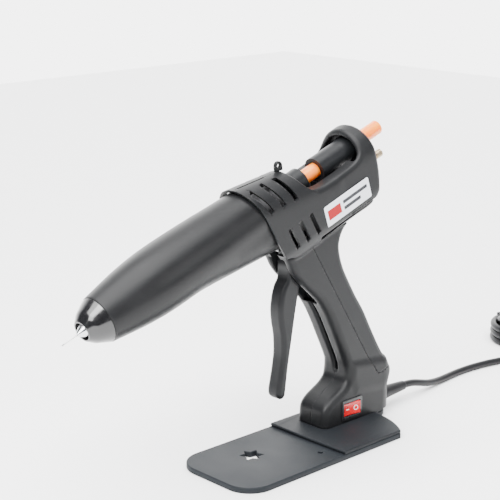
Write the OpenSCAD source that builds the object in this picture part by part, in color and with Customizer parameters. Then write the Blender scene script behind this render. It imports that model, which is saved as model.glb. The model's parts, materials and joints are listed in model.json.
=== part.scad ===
// Industrial hot-melt glue gun on a bench stand.
// Origin: underside of the stand, in the plane where the gun's two shells meet.
// X runs rearwards along the stand, Y from the gun's left side to its right side, Z up.
// The barrel has its own axis, tilted nose down: s runs rearwards along it, e square to it.

/* [Barrel axis] */
// Tilt of the barrel, nose down, in degrees
tilt = 19.5; // [17:0.1:21]
// X of the point that barrel stations are counted from
axis_x = -75; // [-78:1:-72]
// Height of that point above the table
axis_z = 244.3; // [242:0.1:248]

/* [Stand] */
// Length of the stand plate, from its front edge to its rear arc
stand_l = 238; // [200:1:285]
// X of the stand's rear arc
stand_rear = 112; // [104:1:120]
// Width of the stand plate
stand_w = 107; // [95:1:130]
// Sideways shift of the stand's middle from the gun's plane
stand_shift = -20; // [-25:1:-15]
// Thickness of the stand plate
stand_t = 6.2; // [5:0.1:7.5]
// Thickness of the raised pad that carries the foot
pad_t = 3.6; // [3:0.1:4.4]
// X of the pad's front edge
pad_front = 7; // [0:1:18]
// Radius of the small bench screw hole
bench_hole_r = 2.6; // [2:0.1:3.2]
// Tip radius of the star-shaped key hole
star_r = 12.2; // [10:0.1:15]

/* [Housing] */
// Half width of the housing, at its flat sides
house_hw = 30.5; // [29:0.1:33]
// Radius of the collar's round top
collar_r = 33; // [32:0.1:36]
// Fall of the collar's round top towards the rear, against the barrel, in degrees
collar_lean = 9.9; // [6:0.1:11]
// Radius of the rear hood's round top
hood_r = 31; // [30.6:0.1:32]
// Height of the centre of the hood's round top, below the barrel axis
hood_drop = 8.9; // [7:0.1:10]
// Wall of the moulded shells
wall = 2.8; // [2.4:0.1:3.4]
// Station of the collar's rear end, where the open pocket starts
pocket_front = 78; // [76:1:82]
// Station of the hood's front face, where the pocket ends
pocket_rear = 158; // [154:1:160]
// Station of the housing's rear end
house_rear = 176; // [173:1:180]
// Height of the pocket's rim above the barrel axis
rim_e = -4; // [-7:0.5:-2]
// Height of the housing's underside, below the barrel axis
house_bottom = -58.5; // [-61:0.5:-56]

/* [Barrel] */
// Largest radius of the barrel cover
cover_r = 31.8; // [31:0.1:33]
// Radius of the barrel cover where the nozzle boot starts
boot_r = 23; // [21:0.1:25]
// Radius of the boot's front opening
boot_mouth_r = 10; // [9.5:0.1:12]
// Station of the boot's front end, counted forwards
boot_front = 196; // [190:1:202]
// Length of the boot
boot_l = 20; // [17:1:24]
// Outer radius of the melt chamber
chamber_r = 15; // [13:0.1:16.5]
// Radius of a heater cartridge
cartridge_r = 3.25; // [3:0.05:4]

/* [Feed] */
// Radius of the glue stick
stick_r = 7.5; // [6.5:0.1:7.9]
// Length of the glue stick
stick_l = 217; // [180:1:230]
// Outer radius of the feed carriage's tube
tube_r = 12.8; // [12:0.1:13.2]
// Length of the feed carriage's tube
tube_l = 64; // [62:1:71]
// Stroke of the feed carriage
stroke = 18; // [12:1:20]
// Radius of a guide rod
rod_r = 2.5; // [2:0.1:3]

/* [Trigger] */
// Half width of the trigger
trigger_hw = 9; // [8:0.1:9.5]
// Radius of the trigger's pivot pin
pivot_r = 3; // [2.5:0.1:3.5]
// Length of the lever arm above the pivot
arm_l = 40; // [38:1:42]

/* [Handle and foot] */
// Half width of the handle
handle_hw = 20; // [19.5:0.1:22]
// Half width of the foot
foot_hw = 21; // [20.6:0.1:23]
// Thickness of the grip cover on the handle's back
grip_t = 2.5; // [2:0.1:3]
// Half width of the slot in the handle's front
slot_hw = 4.5; // [3:0.1:6]
// Length of the switch's bezel
switch_l = 30.5; // [28:0.1:32]
// Height of the switch's bezel
switch_h = 22.3; // [20:0.1:23]

/* [Cord] */
// Diameter of the mains cord
cord_d = 8; // [7:0.1:8.2]
// Length of the strain relief outside the foot
relief_l = 40; // [30:1:50]

/* [Hidden] */

$fn = 64;
fit = 0.05;        // radial clearance of a pin or rod that runs in a bore
gap = 0.3;         // clearance between pieces that don't touch
slip = 0.1;        // clearance between pieces that are slid together and stay
eps = 1;           // how far a cut runs past the face it opens

// ---- stations of the barrel, in the tilted frame ----
slant = 13;                                   // tilt of the collar's front edge
collar_s = 15.6;                              // where that edge crosses the barrel axis
bulkhead_t = 3;                               // wall between collar and pocket
corner_e = 12;                                // height of the chamfer along the underside
corner_in = 9;                                // how far that chamfer comes in
belly = 2.5;                                  // how much lower the housing's rear hangs
lean_s = 10;                                  // station where the collar's top is level with the axis
collar_l = 59.4;                              // length of the collar's round top
cover_wall = 2.5;
boot_rear_s = -(boot_front - boot_l);
chamber_front = boot_rear_s + 8;
chamber_rear = 55;
sleeve_r = tube_r + 0.8;
sleeve_front = chamber_rear + gap;
sleeve_rear = pocket_front + 14;
bore_r = stick_r + 0.6;                       // every bore that the stick slides through
stick_front = -5;
tube_front = sleeve_rear + stroke + 5;
yoke_front = tube_front + 8;
yoke_l = 24;
rod_e = -26;
rod_y = 15;
pivot_s = 60.6;
pivot_e = -68.5;
arm_angle = asin(stroke / 2 / arm_l);
arm_s = pivot_s + arm_l * sin(arm_angle);
arm_e = pivot_e + arm_l * cos(arm_angle);
link_rise = arm_l * (1 - cos(arm_angle));     // the arc of the arm's pin, taken up in a slot
drive_r = 2;
rim_in = tube_r + 3.5;                        // inner edge of the pocket's broad rims
rim_t = 12;
link_t = 2.5;
arm_hw = 4;
link_y = arm_hw + gap + link_t / 2;           // middle of a drive link, to either side
arm_room = 6;                                 // half width of the arm's room in the shells
screw_e = -28;                                // height of the stroke adjuster
screw_r = 2.5;
knob_r = 4.2;
knob_s = 200;

// ---- heights and places of the foot, in the stand's frame ----
pad_top = stand_t + pad_t;
foot_floor = pad_top + 2.2;
switch_x = 74.4;
switch_z = 24.1;
exit_z = 17;
exit_x = 144;
neck_r = cord_d / 2 + 1.4;
relief_r = 8;
rocker_tilt = 6;

// ---- the gun's outline seen from the side, in the stand's frame ----
grip_front = [[-24, 214], [-22, 206], [-17, 197], [-12.5, 188.5], [-4.5, 179], [11, 164.5],
              [26, 151], [37, 136], [47, 118], [55, 102], [63, 86], [68.5, 74], [71.5, 64]];
grip_back = [[141, 52], [121, 83], [95, 128], [70.3, 166], [57, 188], [53, 202], [56, 222]];
toe = [[70, 53], [62, 47], [50.4, 41], [40, 36], [34.5, 30], [34, pad_top]];
heel = [[exit_x, pad_top], [exit_x + 1, 37]];
seam_top = [13, 209.4];                       // the grip cover's seam on the handle's side
seam_bottom = [109.6, 59.8];
seam_foot = [127, 56.6];

// ---- free cord: route on the table, chosen by hand ----
cord_route = [[102, 0, exit_z], [122, 0, exit_z], [exit_x, 0, exit_z], [164, 0, exit_z],
              [186, 0, exit_z], [200, 0, 15.6], [214, 0, 12], [228, 1, 8.2], [244, 3, 5.4],
              [262, 5, 4.2], [284, 7, 4], [310, 7, 4], [336, 4, 4], [362, -2, 4], [388, -9, 4],
              [414, -15, 4], [438, -18, 4], [462, -19, 4]];
coil_centre = [462, 27];
coil_turn_r = 42;                             // middle radius of the coil's turns
coil_half = 8.2;
coil_layers = 3;
coil_h = coil_layers * 8.2;

// Places its children in the barrel's own frame: X is s and Z is e.
module barrel() {
  translate([axis_x, 0, axis_z]) rotate([0, -tilt, 0]) children();
}

// Stands a profile, drawn as (radius, station), round the barrel axis.
module turned(lift = 0, lean = 0) {
  translate([0, 0, lift]) rotate([0, 90 + lean, 0]) rotate_extrude() children();
}

// A rod along the barrel from station a to station b.
module rod(a, b, r, y = 0, e = 0, sides = $fn) {
  translate([a, y, e]) rotate([0, 90, 0]) cylinder(h = b - a, r = r, $fn = sides);
}

// Runs a section, drawn as (y, e), along the barrel from station a to station b.
module along(a, b) {
  translate([a, 0, 0]) rotate([90, 0, 90]) linear_extrude(b - a) children();
}

// Gives a side outline, drawn as (x, z), a width from y0 to y1.
module slab(y0, y1) {
  translate([0, y1, 0]) rotate([90, 0, 0]) linear_extrude(y1 - y0) children();
}

// A cylinder across the gun, from y0 to y1.
module cross(x, z, y0, y1, r, sides = $fn) {
  translate([x, y1, z]) rotate([90, 0, 0]) cylinder(h = y1 - y0, r = r, $fn = sides);
}

// A rounded rectangle from one corner to the other.
module round_rect(x0, y0, x1, y1, r) {
  translate([x0 + r, y0]) square([x1 - x0 - 2 * r, y1 - y0]);
  translate([x0, y0 + r]) square([x1 - x0, y1 - y0 - 2 * r]);
  for (x = [x0 + r, x1 - r], y = [y0 + r, y1 - r])
    translate([x, y]) circle(r);
}

// Everything behind the collar's slanted edge, shifted rearwards by d, from the barrel's frame.
module behind_edge(d) {
  translate([collar_s + d, 0, 0]) rotate([0, -slant, 0]) translate([0, -60, -120]) cube([300, 120, 240]);
}

// ---- stand ----

module stand_outline() {
  rear_r = 86;
  intersection() {
    round_rect(stand_rear - stand_l, stand_shift - stand_w / 2,
               stand_rear + 20, stand_shift + stand_w / 2, 28);
    union() {
      translate([stand_rear - rear_r, stand_shift]) circle(rear_r);
      translate([stand_rear - stand_l - eps, stand_shift - stand_w]) square([stand_l - 80, 2 * stand_w]);
    }
  }
  translate([stand_rear - 60, -foot_hw + 3])
    square([exit_x - foot_hw - stand_rear + 60, 2 * foot_hw - 6]);
  translate([exit_x - foot_hw, 0]) circle(foot_hw - 3);
}

module stand_screw_places() {
  for (x = [52, 122], y = [-10, 10])
    translate([x, y, 0]) children();
}

module stand_plate() {
  color("#3c4045") difference() {
    linear_extrude(stand_t) stand_outline();
    for (a = [0, 60])
      translate([-60.3, -9, -eps]) rotate(a - 34.6) cylinder(h = stand_t + 2 * eps, r = star_r, $fn = 3);
    translate([-4.7, -51.6, -eps]) cylinder(h = stand_t + 2 * eps, r = bench_hole_r);
    stand_screw_places() {
      translate([0, 0, -eps]) cylinder(h = stand_t + 2 * eps, r = 2.2);
      translate([0, 0, -eps]) cylinder(h = 3 + eps, r = 4.2);
    }
  }
}

module stand_pad() {
  color("#3a3d42") difference() {
    translate([0, 0, stand_t]) linear_extrude(pad_t) intersection() {
      stand_outline();
      translate([pad_front, -stand_w]) square([stand_l, 2 * stand_w]);
    }
    stand_screw_places() translate([0, 0, stand_t - eps]) cylinder(h = pad_t + 2 * eps, r = 2.2);
  }
}

module stand_screws() {
  color("#8d9094") stand_screw_places() {
    translate([0, 0, 0.4]) cylinder(h = 2.5, r = 3.8);
    translate([0, 0, 2.9]) cylinder(h = pad_top + 7 - 2.9, r = 1.9);
  }
}

// ---- housing, handle and foot ----

module low_section(o = 0) {
  w = house_hw - o;
  b = house_bottom - belly + o;
  polygon([[w, rim_e], [w, b + corner_e], [w - corner_in, b],
           [corner_in - w, b], [-w, b + corner_e], [-w, rim_e]]);
}

// The hood's round top, over its lowered centre.
module hood_section(o = 0) {
  w = house_hw - o;
  intersection() {
    translate([0, -hood_drop]) circle(hood_r - o);
    translate([-w, -hood_drop]) square([2 * w, hood_r]);
  }
}

// The frame of the collar's top, whose axis falls towards the rear.
module leaning() {
  translate([lean_s, 0, 0]) rotate([0, collar_lean, 0]) translate([-lean_s, 0, 0]) children();
}

// The collar's round top, between two slanted edges.
module collar_top(o = 0) {
  difference() {
    intersection() {
      leaning() rod(-60, 120, collar_r - o, 0, 0, 128);
      translate([-60, -house_hw + o, rim_e - o]) cube([200, 2 * (house_hw - o), 80]);
    }
    behind_edge(collar_l - o);
  }
}

// The rounded lower rear corner and the ends of the housing, seen from the side.
module house_side(o = 0) {
  rear = house_rear - o;
  low = house_bottom + o;
  polygon([[-20, 60], [rear, 60], [rear, -15], [rear - 1, -27], [rear - 3.5, -40 + o / 2],
           [rear - 6.5, -49 + o], [rear - 11, -55.5 + o], [rear - 17, low - belly + 1],
           [rear - 25, low - belly], [118, low], [46, low], [38, low + 6], [32, low + 9.5], [-20, low + 9.5]]);
}

module housing_outer() {
  barrel() intersection() {
    union() {
      intersection() {
        collar_top();
        behind_edge(0);
      }
      intersection() {
        along(0, house_rear) low_section();
        behind_edge(0);
      }
      along(pocket_rear, house_rear) hood_section();
    }
    slab(-50, 50) house_side();
  }
}

// Inside of the housing: collar room, feed room under the pocket, and the hood's two recesses.
module housing_inner() {
  barrel() {
    intersection() {
      union() {
        collar_top(wall);
        along(-20, pocket_front - bulkhead_t) low_section(wall);
        along(pocket_front, house_rear - wall) low_section(wall);
      }
      slab(-50, 50) house_side(wall);
    }
    along(pocket_front - bulkhead_t - eps, pocket_front + eps)
      translate([-trigger_hw - 1, house_bottom + wall]) square([2 * trigger_hw + 2, 36]);
    intersection() {
      translate([pocket_rear + 9, 0, -hood_drop])
        along(0, house_rear - wall - pocket_rear - 9) circle(hood_r - wall);
      translate([0, -house_hw + wall, -60]) cube([house_rear, 2 * (house_hw - wall), 120]);
    }
    rod(pocket_rear - eps, pocket_rear + 5, hood_r - 6, 0, -hood_drop);
  }
}

// The open pocket above the feed room.
module pocket() {
  barrel() translate([pocket_front, -50, rim_e]) cube([pocket_rear - pocket_front, 100, 60]);
}

// The pocket's broad rims, one on each side of the feed tube.
module pocket_rims() {
  barrel() for (y = [-house_hw + 1, rim_in])
    translate([pocket_front - 1, y, rim_e - rim_t])
      cube([pocket_rear - pocket_front + 2, house_hw - 1 - rim_in, rim_t]);
}

module grip_side(o = 0) {
  inset = 1.2 * o;
  polygon(concat([for (p = grip_front) p + [inset, 0]], [for (p = toe) p + [inset, -o / 2]],
                 [for (p = heel) p - [inset, 0]], [for (p = grip_back) p - [inset, 0]]));
}

module foot_plan(o = 0) {
  r = foot_hw - o;
  translate([exit_x - foot_hw, 0]) circle(r);
  round_rect(toe[5][0] + o, -r, exit_x - foot_hw, r, 7);
  translate([exit_x - foot_hw - 20, -r]) square([20, 2 * r]);
}

// The handle's outline less a strip along its front, where the two ridges are narrower.
module ridge_strip() {
  polygon(concat([for (p = grip_front) p - [20, 0]], [[71.5, 50], [80, 50]],
                 [for (i = [len(grip_front) - 1 : -1 : 5]) grip_front[i] + [9, 2]], [[-4, 188], [-4, 214]]));
}

module handle_outer() {
  difference() {
    union() {
      slab(-handle_hw, handle_hw) grip_side();
      intersection() {
        slab(-foot_hw, foot_hw) grip_side();
        translate([0, 0, pad_top]) linear_extrude(30) foot_plan();
      }
    }
    difference() {
      slab(-50, 50) ridge_strip();
      slab(-13, 13) ridge_strip();
      translate([-60, -50, 178]) cube([200, 100, 60]);
    }
    difference() {
      translate([0, -50, 0]) cube([160, 100, pad_top + 44]);
      translate([0, 0, -eps]) linear_extrude(80) foot_plan();
    }
  }
}

// Cuts the handle where the grip cover lies: all that is behind the seam.
module behind_seam(o = 0) {
  slab(-60, 60) polygon([seam_top + [o, 0], seam_bottom + [o, 0], seam_bottom + [6.7 + o, 2 * o - 7.4],
                         seam_foot + [o, 2 * o], [170, 70], [170, 217], [30, 217]]);
}

module handle_inner(d) {
  slab(-handle_hw + wall, handle_hw - wall) polygon(concat(
    [for (p = grip_front) p + [14, 0]],
    [[72, 46], [62, 40], [50, 35], [40, 30], [37.5, 26], [37.5, foot_floor]],
    [[exit_x, foot_floor], [exit_x, 37], [134, 52]],
    [for (i = [1 : 6]) grip_back[i] - [d, 0]], [[40, 228], [0, 221]]));
}

module gun_inner() {
  housing_inner();
  intersection() {
    handle_inner(10);
    union() {
      translate([-60, -50, 50]) cube([260, 100, 200]);
      translate([0, 0, foot_floor]) linear_extrude(60) foot_plan(wall);
    }
  }
}

// What the trigger needs: a wide mouth at the neck, and a narrow slot down the handle's front.
module trigger_room() {
  mouth = trigger_hw + 1;
  slab(-mouth, mouth) polygon([[-40, 200], [-13, 203], [-8, 211], [34, 214], [34, 170], [40, 146],
                                [14, 146], [-40, 170]]);
  slab(-slot_hw, slot_hw) polygon(concat([for (p = grip_front) p - [14, 0]],
                                         [for (i = [len(grip_front) - 1 : -1 : 0]) grip_front[i] + [15, 5]]));
  barrel() slab(-arm_room, arm_room) polygon([[36, -70], [36, -46], [92, -46], [84, -62]]);
}

// Vents through both sides, three slanted slots above and three below, and a long thin slot in the crest.
module vents() {
  slot_w = 4.4;
  barrel() {
    for (i = [0 : 2])
      translate([20.8 + 17.3 * i, 0, 17.2 - 1.7 * i]) rotate([0, 4.3 * i - 18.6, 0])
        translate([-slot_w / 2, -50, -11.4]) cube([slot_w, 100, 22.8]);
    for (i = [0 : 2])
      translate([42 + 15.3 * i, 0, -32]) rotate([0, -12, 0])
        translate([-2, -50, -12]) cube([4, 100, 24]);
    translate([14, -0.9, 20]) cube([35, 1.8, 20]);
  }
}

shell_screw_places = [[76, 72], [68, 112], [46, 22.5], [128, 42]];  // handle and foot: x, z
house_screw_places = [[42, -51], [168, -18.2]];                     // housing: s, e

module at_shell_screws() {
  for (p = shell_screw_places)
    translate([p[0], 0, p[1]]) rotate([90, 0, 0]) children();
  barrel() for (p = house_screw_places)
    translate([p[0], 0, p[1]]) rotate([90, 0, 0]) children();
}

module bosses() {
  at_shell_screws() cylinder(h = 2 * handle_hw - 2 * wall + 1, r = 4, center = true);
  barrel() for (p = house_screw_places)
    cross(p[0], p[1], -house_hw + wall - eps, house_hw - wall + eps, 4);
  intersection() {
    stand_screw_places() translate([0, 0, pad_top]) cylinder(h = 9, r = 4);
    translate([0, 0, pad_top]) linear_extrude(12) foot_plan(1);
  }
}

module gun_solid() {
  difference() {
    union() {
      difference() {
        union() {
          housing_outer();
          handle_outer();
        }
        gun_inner();
      }
      bosses();
      pocket_rims();
    }
    pocket();
    trigger_room();
    vents();
    difference() {
      behind_seam();
      slab(-handle_hw + grip_t, handle_hw - grip_t)
        polygon(concat([seam_top - [20, 0], [100, 40], [150, 40]],
                       [for (p = grip_back) p - [1.3 * grip_t, 0]]));
      housing_outer();
      translate([0, -50, 0]) cube([200, 100, 50]);
    }
    barrel() {
      rod(pocket_front - 15, pocket_front + eps, sleeve_r + gap);
      rod(pocket_rear - eps, house_rear + eps, tube_r + gap);
      rod(house_rear - wall - 3, house_rear + eps, screw_r + gap, 0, screw_e);
      for (y = [-rod_y, rod_y])
        rod(pocket_front - 2, house_rear - 1.4, rod_r + 0.02, y, rod_e);
      cross(pivot_s, pivot_e, -pin_half, pin_half, pivot_r + 0.02);
    }
    translate([exit_x - 8, 0, exit_z]) rotate([0, 90, 0]) {
      cylinder(h = 20, r = neck_r + slip);
      cylinder(h = 3.8, r = neck_r + 0.6 + slip);
    }
    stand_screw_places() cylinder(h = pad_top + 8, r = 1.95);
    at_shell_screws() {
      cylinder(h = 26, r = 1.95, center = true);
      translate([0, 0, -73]) cylinder(h = 60, r = 3.7);
    }
  }
}

pin_half = handle_hw - 1.6;

module left_shell() {
  color("#26282b") difference() {
    intersection() {
      gun_solid();
      translate([-200, -60, 0]) cube([500, 60, 400]);
    }
    translate([switch_x - switch_l / 2 + 1.6, -foot_hw - eps, switch_z - switch_h / 2 + 1.1])
      cube([switch_l - 3.2, 6, switch_h - 2.2]);
  }
}

module right_shell() {
  color("#26282b") intersection() {
    gun_solid();
    translate([-200, 0, 0]) cube([500, 60, 400]);
  }
}

module shell_screws() {
  color("#8d9094") at_shell_screws() {
    translate([0, 0, -13]) cylinder(h = 25, r = 1.9);
    translate([0, 0, -15.2]) cylinder(h = 2.2, r = 3.4);
  }
}

// The removable cover over the handle's back, one moulding that wraps round from side to side.
module grip_cover() {
  color("#1f2023") difference() {
    intersection() {
      slab(-handle_hw, handle_hw) grip_side();
      behind_seam(slip);
    }
    slab(-handle_hw + grip_t - slip, handle_hw - grip_t + slip)
      polygon(concat([seam_top - [20, 0], [100, 40], [150, 40]],
                     [for (p = grip_back) p - [1.3 * grip_t - slip, 0]]));
    barrel() along(0, house_rear + 20) translate([-60, house_bottom - slip]) square([120, 200]);
    translate([0, -50, 0]) cube([200, 100, 50]);
  }
}

module label_plate() {
  color("#e8eaee") barrel() translate([121 - 33.4, -house_hw - 0.6, -33.8 - 10.9]) cube([66.8, 0.6, 21.8]);
}

// Moulded eye on the collar's top, for a hook or a balancer's cord.
module suspension_eye() {
  color("#1f2023") barrel() leaning() translate([64.4, 0, collar_r]) difference() {
    union() {
      cross(0, 5, -2, 2, 4.6);
      translate([-4.6, -2, 0]) cube([9.2, 4, 5]);
    }
    cross(0, 5, -2 - eps, 2 + eps, 2.3);
    collar_round();
  }
}

// The collar's round top, as the eye's foot meets it face to face.
module collar_round() {
  translate([-20, 0, -collar_r]) rotate([0, 90, 0]) cylinder(h = 40, r = collar_r + 0.02, $fn = 128);
}

// ---- barrel ----

function cover_profile(o) = [
  [boot_r - o, boot_rear_s], [26 - o, boot_rear_s + 20], [29.3 - o, -136], [31.4 - o, -112],
  [cover_r - o, -84], [31 - o, -45], [29.3 - o, -5], [28 - o, 50]];

module bullet(o, a) {
  p = cover_profile(o);
  difference() {
    turned() polygon(concat([[0, a]], [[p[0][0], a]], p, [[0, p[7][1]]]));
    translate([-300, -60, -60]) cube([300 + a, 120, 120]);
  }
  turned(-13.9, 7.4) polygon([[0, -90], [26 - o, -90], [27.6 - o, -60], [27.7 - o, 60], [0, 60]]);
}

// Its rear end is tucked inside the collar, so that part is narrowed to the collar's room.
module barrel_cover() {
  room_w = house_hw - wall - 0.5;
  room_top = collar_r - wall - 1.5;
  room_bottom = house_bottom + wall + 2.2;
  color("#3a3c40") barrel() difference() {
    bullet(0, boot_rear_s);
    bullet(cover_wall, boot_rear_s - eps);
    behind_edge(4);
    difference() {
      behind_edge(-gap);
      translate([-100, -room_w, room_bottom]) cube([200, 2 * room_w, room_top - room_bottom]);
    }
  }
}

module nozzle_boot() {
  color("#101113") barrel() turned() polygon([
    [boot_r - 0.2, boot_rear_s - 0.2], [boot_mouth_r + 6.2, -boot_front + 7], [boot_mouth_r, -boot_front],
    [boot_mouth_r - 1.2, -boot_front], [boot_mouth_r - 1, -boot_front + 8], [boot_r - 9, boot_rear_s - 1],
    [boot_r - 6, boot_rear_s + 8], [boot_r - cover_wall - slip - 0.2, boot_rear_s + 8],
    [boot_r - cover_wall - slip - 0.2, boot_rear_s - 0.2]]);
}

module nozzle() {
  color("#b9bcc0") barrel() difference() {
    union() {
      rod(-boot_front + 4, chamber_front - slip, 8, 0, 0, 6);
      turned() polygon([[0, -boot_front - 5.5], [1.9, -boot_front - 5.5],
                        [8, -boot_front + 4.05], [0, -boot_front + 4.05]]);
      rod(chamber_front - eps, chamber_front + 9, 4.9);
    }
    rod(-boot_front - 3, chamber_front + 20, 1.4);
    rod(-boot_front - 10, -boot_front, 0.8);
  }
}

module nozzle_needle() {
  color("#c9ccd0") barrel() difference() {
    union() {
      rod(-219.5, -boot_front - 3.2, 0.75, $fn = 24);
      rod(-219.5, -218, 1.3, $fn = 24);
    }
    rod(-225, -180, 0.4, $fn = 24);
  }
}

heater_y = 14.5;
heater_r = cartridge_r + 2.6;

module melt_chamber() {
  color("#a3a7ab") barrel() difference() {
    union() {
      rod(chamber_front, chamber_rear, chamber_r);
      for (y = [-heater_y, heater_y])
        rod(-128, -30, heater_r, y);
      translate([-28, -9, -chamber_r - 1]) cube([20, 18, 8]);
    }
    rod(-60, chamber_rear + eps, bore_r);
    turned() polygon([[0, chamber_front + 30], [3, chamber_front + 30], [bore_r, -59.9], [0, -59.9]]);
    rod(chamber_front + 8, chamber_front + 31, 3);
    rod(chamber_front - eps, chamber_front + 9.5, 5);
    for (y = [-heater_y, heater_y])
      rod(-110, -20, cartridge_r + fit, y);
  }
}

module heater_cartridges() {
  color("#c4bfb2") barrel() for (y = [-heater_y, heater_y]) {
    rod(-109, -34, cartridge_r, y);
    rod(-34, -24, 1.2, y, 1.6);
    rod(-34, -24, 1.2, y, -1.6);
  }
}

module thermostat() {
  color("#8c7f62") barrel() translate([-18, 0, -chamber_r - 1]) {
    mirror([0, 0, 1]) cylinder(h = 4, r = 8);
    mirror([0, 0, 1]) translate([0, 0, 4]) cylinder(h = 2.5, r = 5);
  }
}

module spacer(s, r) {
  difference() {
    rod(s, s + 5, r);
    rod(s - eps, s + 6, chamber_r + slip);
    for (y = [-heater_y, heater_y])
      rod(s - eps, s + 6, 4.5, y, -14);
  }
}

module front_spacer() {
  color("#d8d2c4") barrel() spacer(-150, 23.4);
}

module rear_spacer() {
  color("#d8d2c4") barrel() spacer(14, 24.6);
}

module inlet_sleeve() {
  color("#191a1c") barrel() difference() {
    rod(sleeve_front, sleeve_rear, sleeve_r);
    rod(sleeve_front - eps, sleeve_rear + eps, bore_r);
  }
}

module guide_rods() {
  color("#b4b7ba") barrel() for (y = [-rod_y, rod_y])
    rod(pocket_front - 1.9, house_rear - 1.5, rod_r, y, rod_e);
}

// Heater and sensor leads in one sleeve, from the board up the handle to the barrel.
lead_route = [[104, 9, 40], [112, 10, 52], [98, 10, 84], [72, 10, 126], [44, 12, 174], [26, 13.5, 206],
              [8, 13.5, 221], [-2, 13.5, 224], [-19, 13.5, 224], [-36, 12, 224], [-54, 10, 223]];

module lead_bundle() {
  color("#6d6f72") tube(lead_route, 2, 8);
}

// ---- feed ----

module stroke_adjuster() {
  color("#b58f57") barrel() rod(yoke_front + yoke_l + 1, knob_s, screw_r, 0, screw_e);
}

module adjuster_knob() {
  color("#b09a78") barrel() difference() {
    union() {
      rod(knob_s + 1, knob_s + 9, knob_r, 0, screw_e);
      rod(knob_s - 3, knob_s + 1, knob_r - 1, 0, screw_e);
    }
    rod(knob_s - 4, knob_s + 0.02, screw_r + 0.02, 0, screw_e);
    for (a = [0 : 24 : 336])
      translate([0, 0, screw_e]) rotate([a, 0, 0]) rod(knob_s + 0.6, knob_s + 9.5, 0.4, 0, knob_r, 13);
  }
}

module adjuster_nut() {
  color("#9c9fa3") barrel() difference() {
    rod(house_rear + slip, house_rear + 4, 4.6, 0, screw_e, 6);
    rod(house_rear - eps, house_rear + 6, screw_r + fit, 0, screw_e);
  }
}

module feed_carriage() {
  yoke_hw = 20;
  color("#1b1c1e") barrel() difference() {
    union() {
      rod(tube_front, tube_front + tube_l, tube_r);
      translate([yoke_front, -yoke_hw, rod_e - 6]) cube([yoke_l, 2 * yoke_hw, 12]);
      translate([yoke_front, -9, rod_e]) cube([yoke_l, 18, -rod_e - tube_r + 3]);
    }
    rod(tube_front - eps, tube_front + tube_l + eps, bore_r);
    for (y = [-rod_y, rod_y])
      rod(yoke_front - eps, yoke_front + yoke_l + eps, rod_r + fit, y, rod_e);
    translate([yoke_front + 3, -3, -24]) cube([14, 6, 20]);
    cross(yoke_front + 10, -17, -10, 10, 1.52);
    for (side = [-1, 1])
      translate([yoke_front - eps, side * link_y - link_t / 2 - 0.1, rod_e - 5])
        cube([10, link_t + 0.2, 10]);
    cross(yoke_front + 5, rod_e, -12, 12, drive_r + 0.02);
  }
}

// Toothed steel jaw that bites the stick from below as the carriage goes forwards.
module clamp_jaw() {
  color("#7d7f82") barrel() difference() {
    slab(-2.6, 2.6) polygon([[yoke_front + 4, -23], [yoke_front + 15, -23], [yoke_front + 16, -14],
      [yoke_front + 12, -8.2], [yoke_front + 11, -9.4], [yoke_front + 10, -8.2], [yoke_front + 9, -9.4],
      [yoke_front + 8, -8.2], [yoke_front + 5, -14]]);
    cross(yoke_front + 10, -17, -10, 10, 1.5 + fit);
  }
}

module jaw_pin() {
  color("#a6a9ac") barrel() cross(yoke_front + 10, -17, -8.8, 8.8, 1.5);
}

module drive_links() {
  slot_half = drive_r + 0.25;
  color("#85888c") barrel() for (side = [-1, 1])
    difference() {
      slab(side * link_y - link_t / 2, side * link_y + link_t / 2)
        union() {
          polygon([[arm_s, arm_e - 4.5], [yoke_front + 5, rod_e - 4.5],
                   [yoke_front + 5, rod_e + 4.5], [arm_s, arm_e + 4.5]]);
          translate([arm_s, arm_e]) circle(4.5);
          translate([yoke_front + 5, rod_e]) circle(3.9);
        }
      cross(yoke_front + 5, rod_e, -20, 20, drive_r + 0.02);
      slab(-20, 20) {
        translate([arm_s, arm_e - 0.2]) circle(slot_half);
        translate([arm_s, arm_e + link_rise + 0.2]) circle(slot_half);
        translate([arm_s - slot_half, arm_e - 0.2]) square([2 * slot_half, link_rise + 0.4]);
      }
    }
}

module link_pin() {
  color("#a6a9ac") barrel() cross(yoke_front + 5, rod_e, -9.5, 9.5, drive_r);
}

module glue_stick() {
  color("#ffb347", 0.85) barrel() rod(stick_front, stick_front + stick_l, stick_r);
}

// ---- trigger ----

trigger_outline = [
  [-10, 194], [-9.5, 186], [-11, 178.5], [-16, 171.5], [-19.3, 161], [-21, 147.6], [-19.6, 134],
  [-16.8, 120], [-16, 103], [-17.5, 90], [-20.5, 74], [-22.8, 62], [-21.5, 56.5], [-17, 53.5],
  [-12.5, 56], [-11, 62], [-7.8, 86], [-4, 108], [0, 131], [3, 148], [6, 162], [12, 184],
  [14, 198], [5, 206], [-6, 203]];

module trigger() {
  hub_r = 10;
  color("#1f2023") difference() {
    union() {
      slab(-trigger_hw, trigger_hw) polygon(trigger_outline);
      barrel() {
        cross(pivot_s, pivot_e, -trigger_hw, trigger_hw, hub_r);
        slab(-arm_hw, arm_hw) {
          polygon([[pivot_s - 6, pivot_e], [pivot_s + 9, pivot_e + 3],
                   [arm_s + 4, arm_e], [arm_s - 4, arm_e]]);
          translate([arm_s, arm_e]) circle(4);
        }
      }
    }
    barrel() {
      cross(pivot_s, pivot_e, -20, 20, pivot_r + fit);
      cross(arm_s, arm_e, -20, 20, drive_r + 0.02);
    }
  }
}

module drive_pin() {
  color("#a6a9ac") barrel() cross(arm_s, arm_e, -8.4, 8.4, drive_r);
}

module trigger_pin() {
  color("#a6a9ac") barrel() cross(pivot_s, pivot_e, -pin_half + 0.1, pin_half - 0.1, pivot_r);
}

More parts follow.
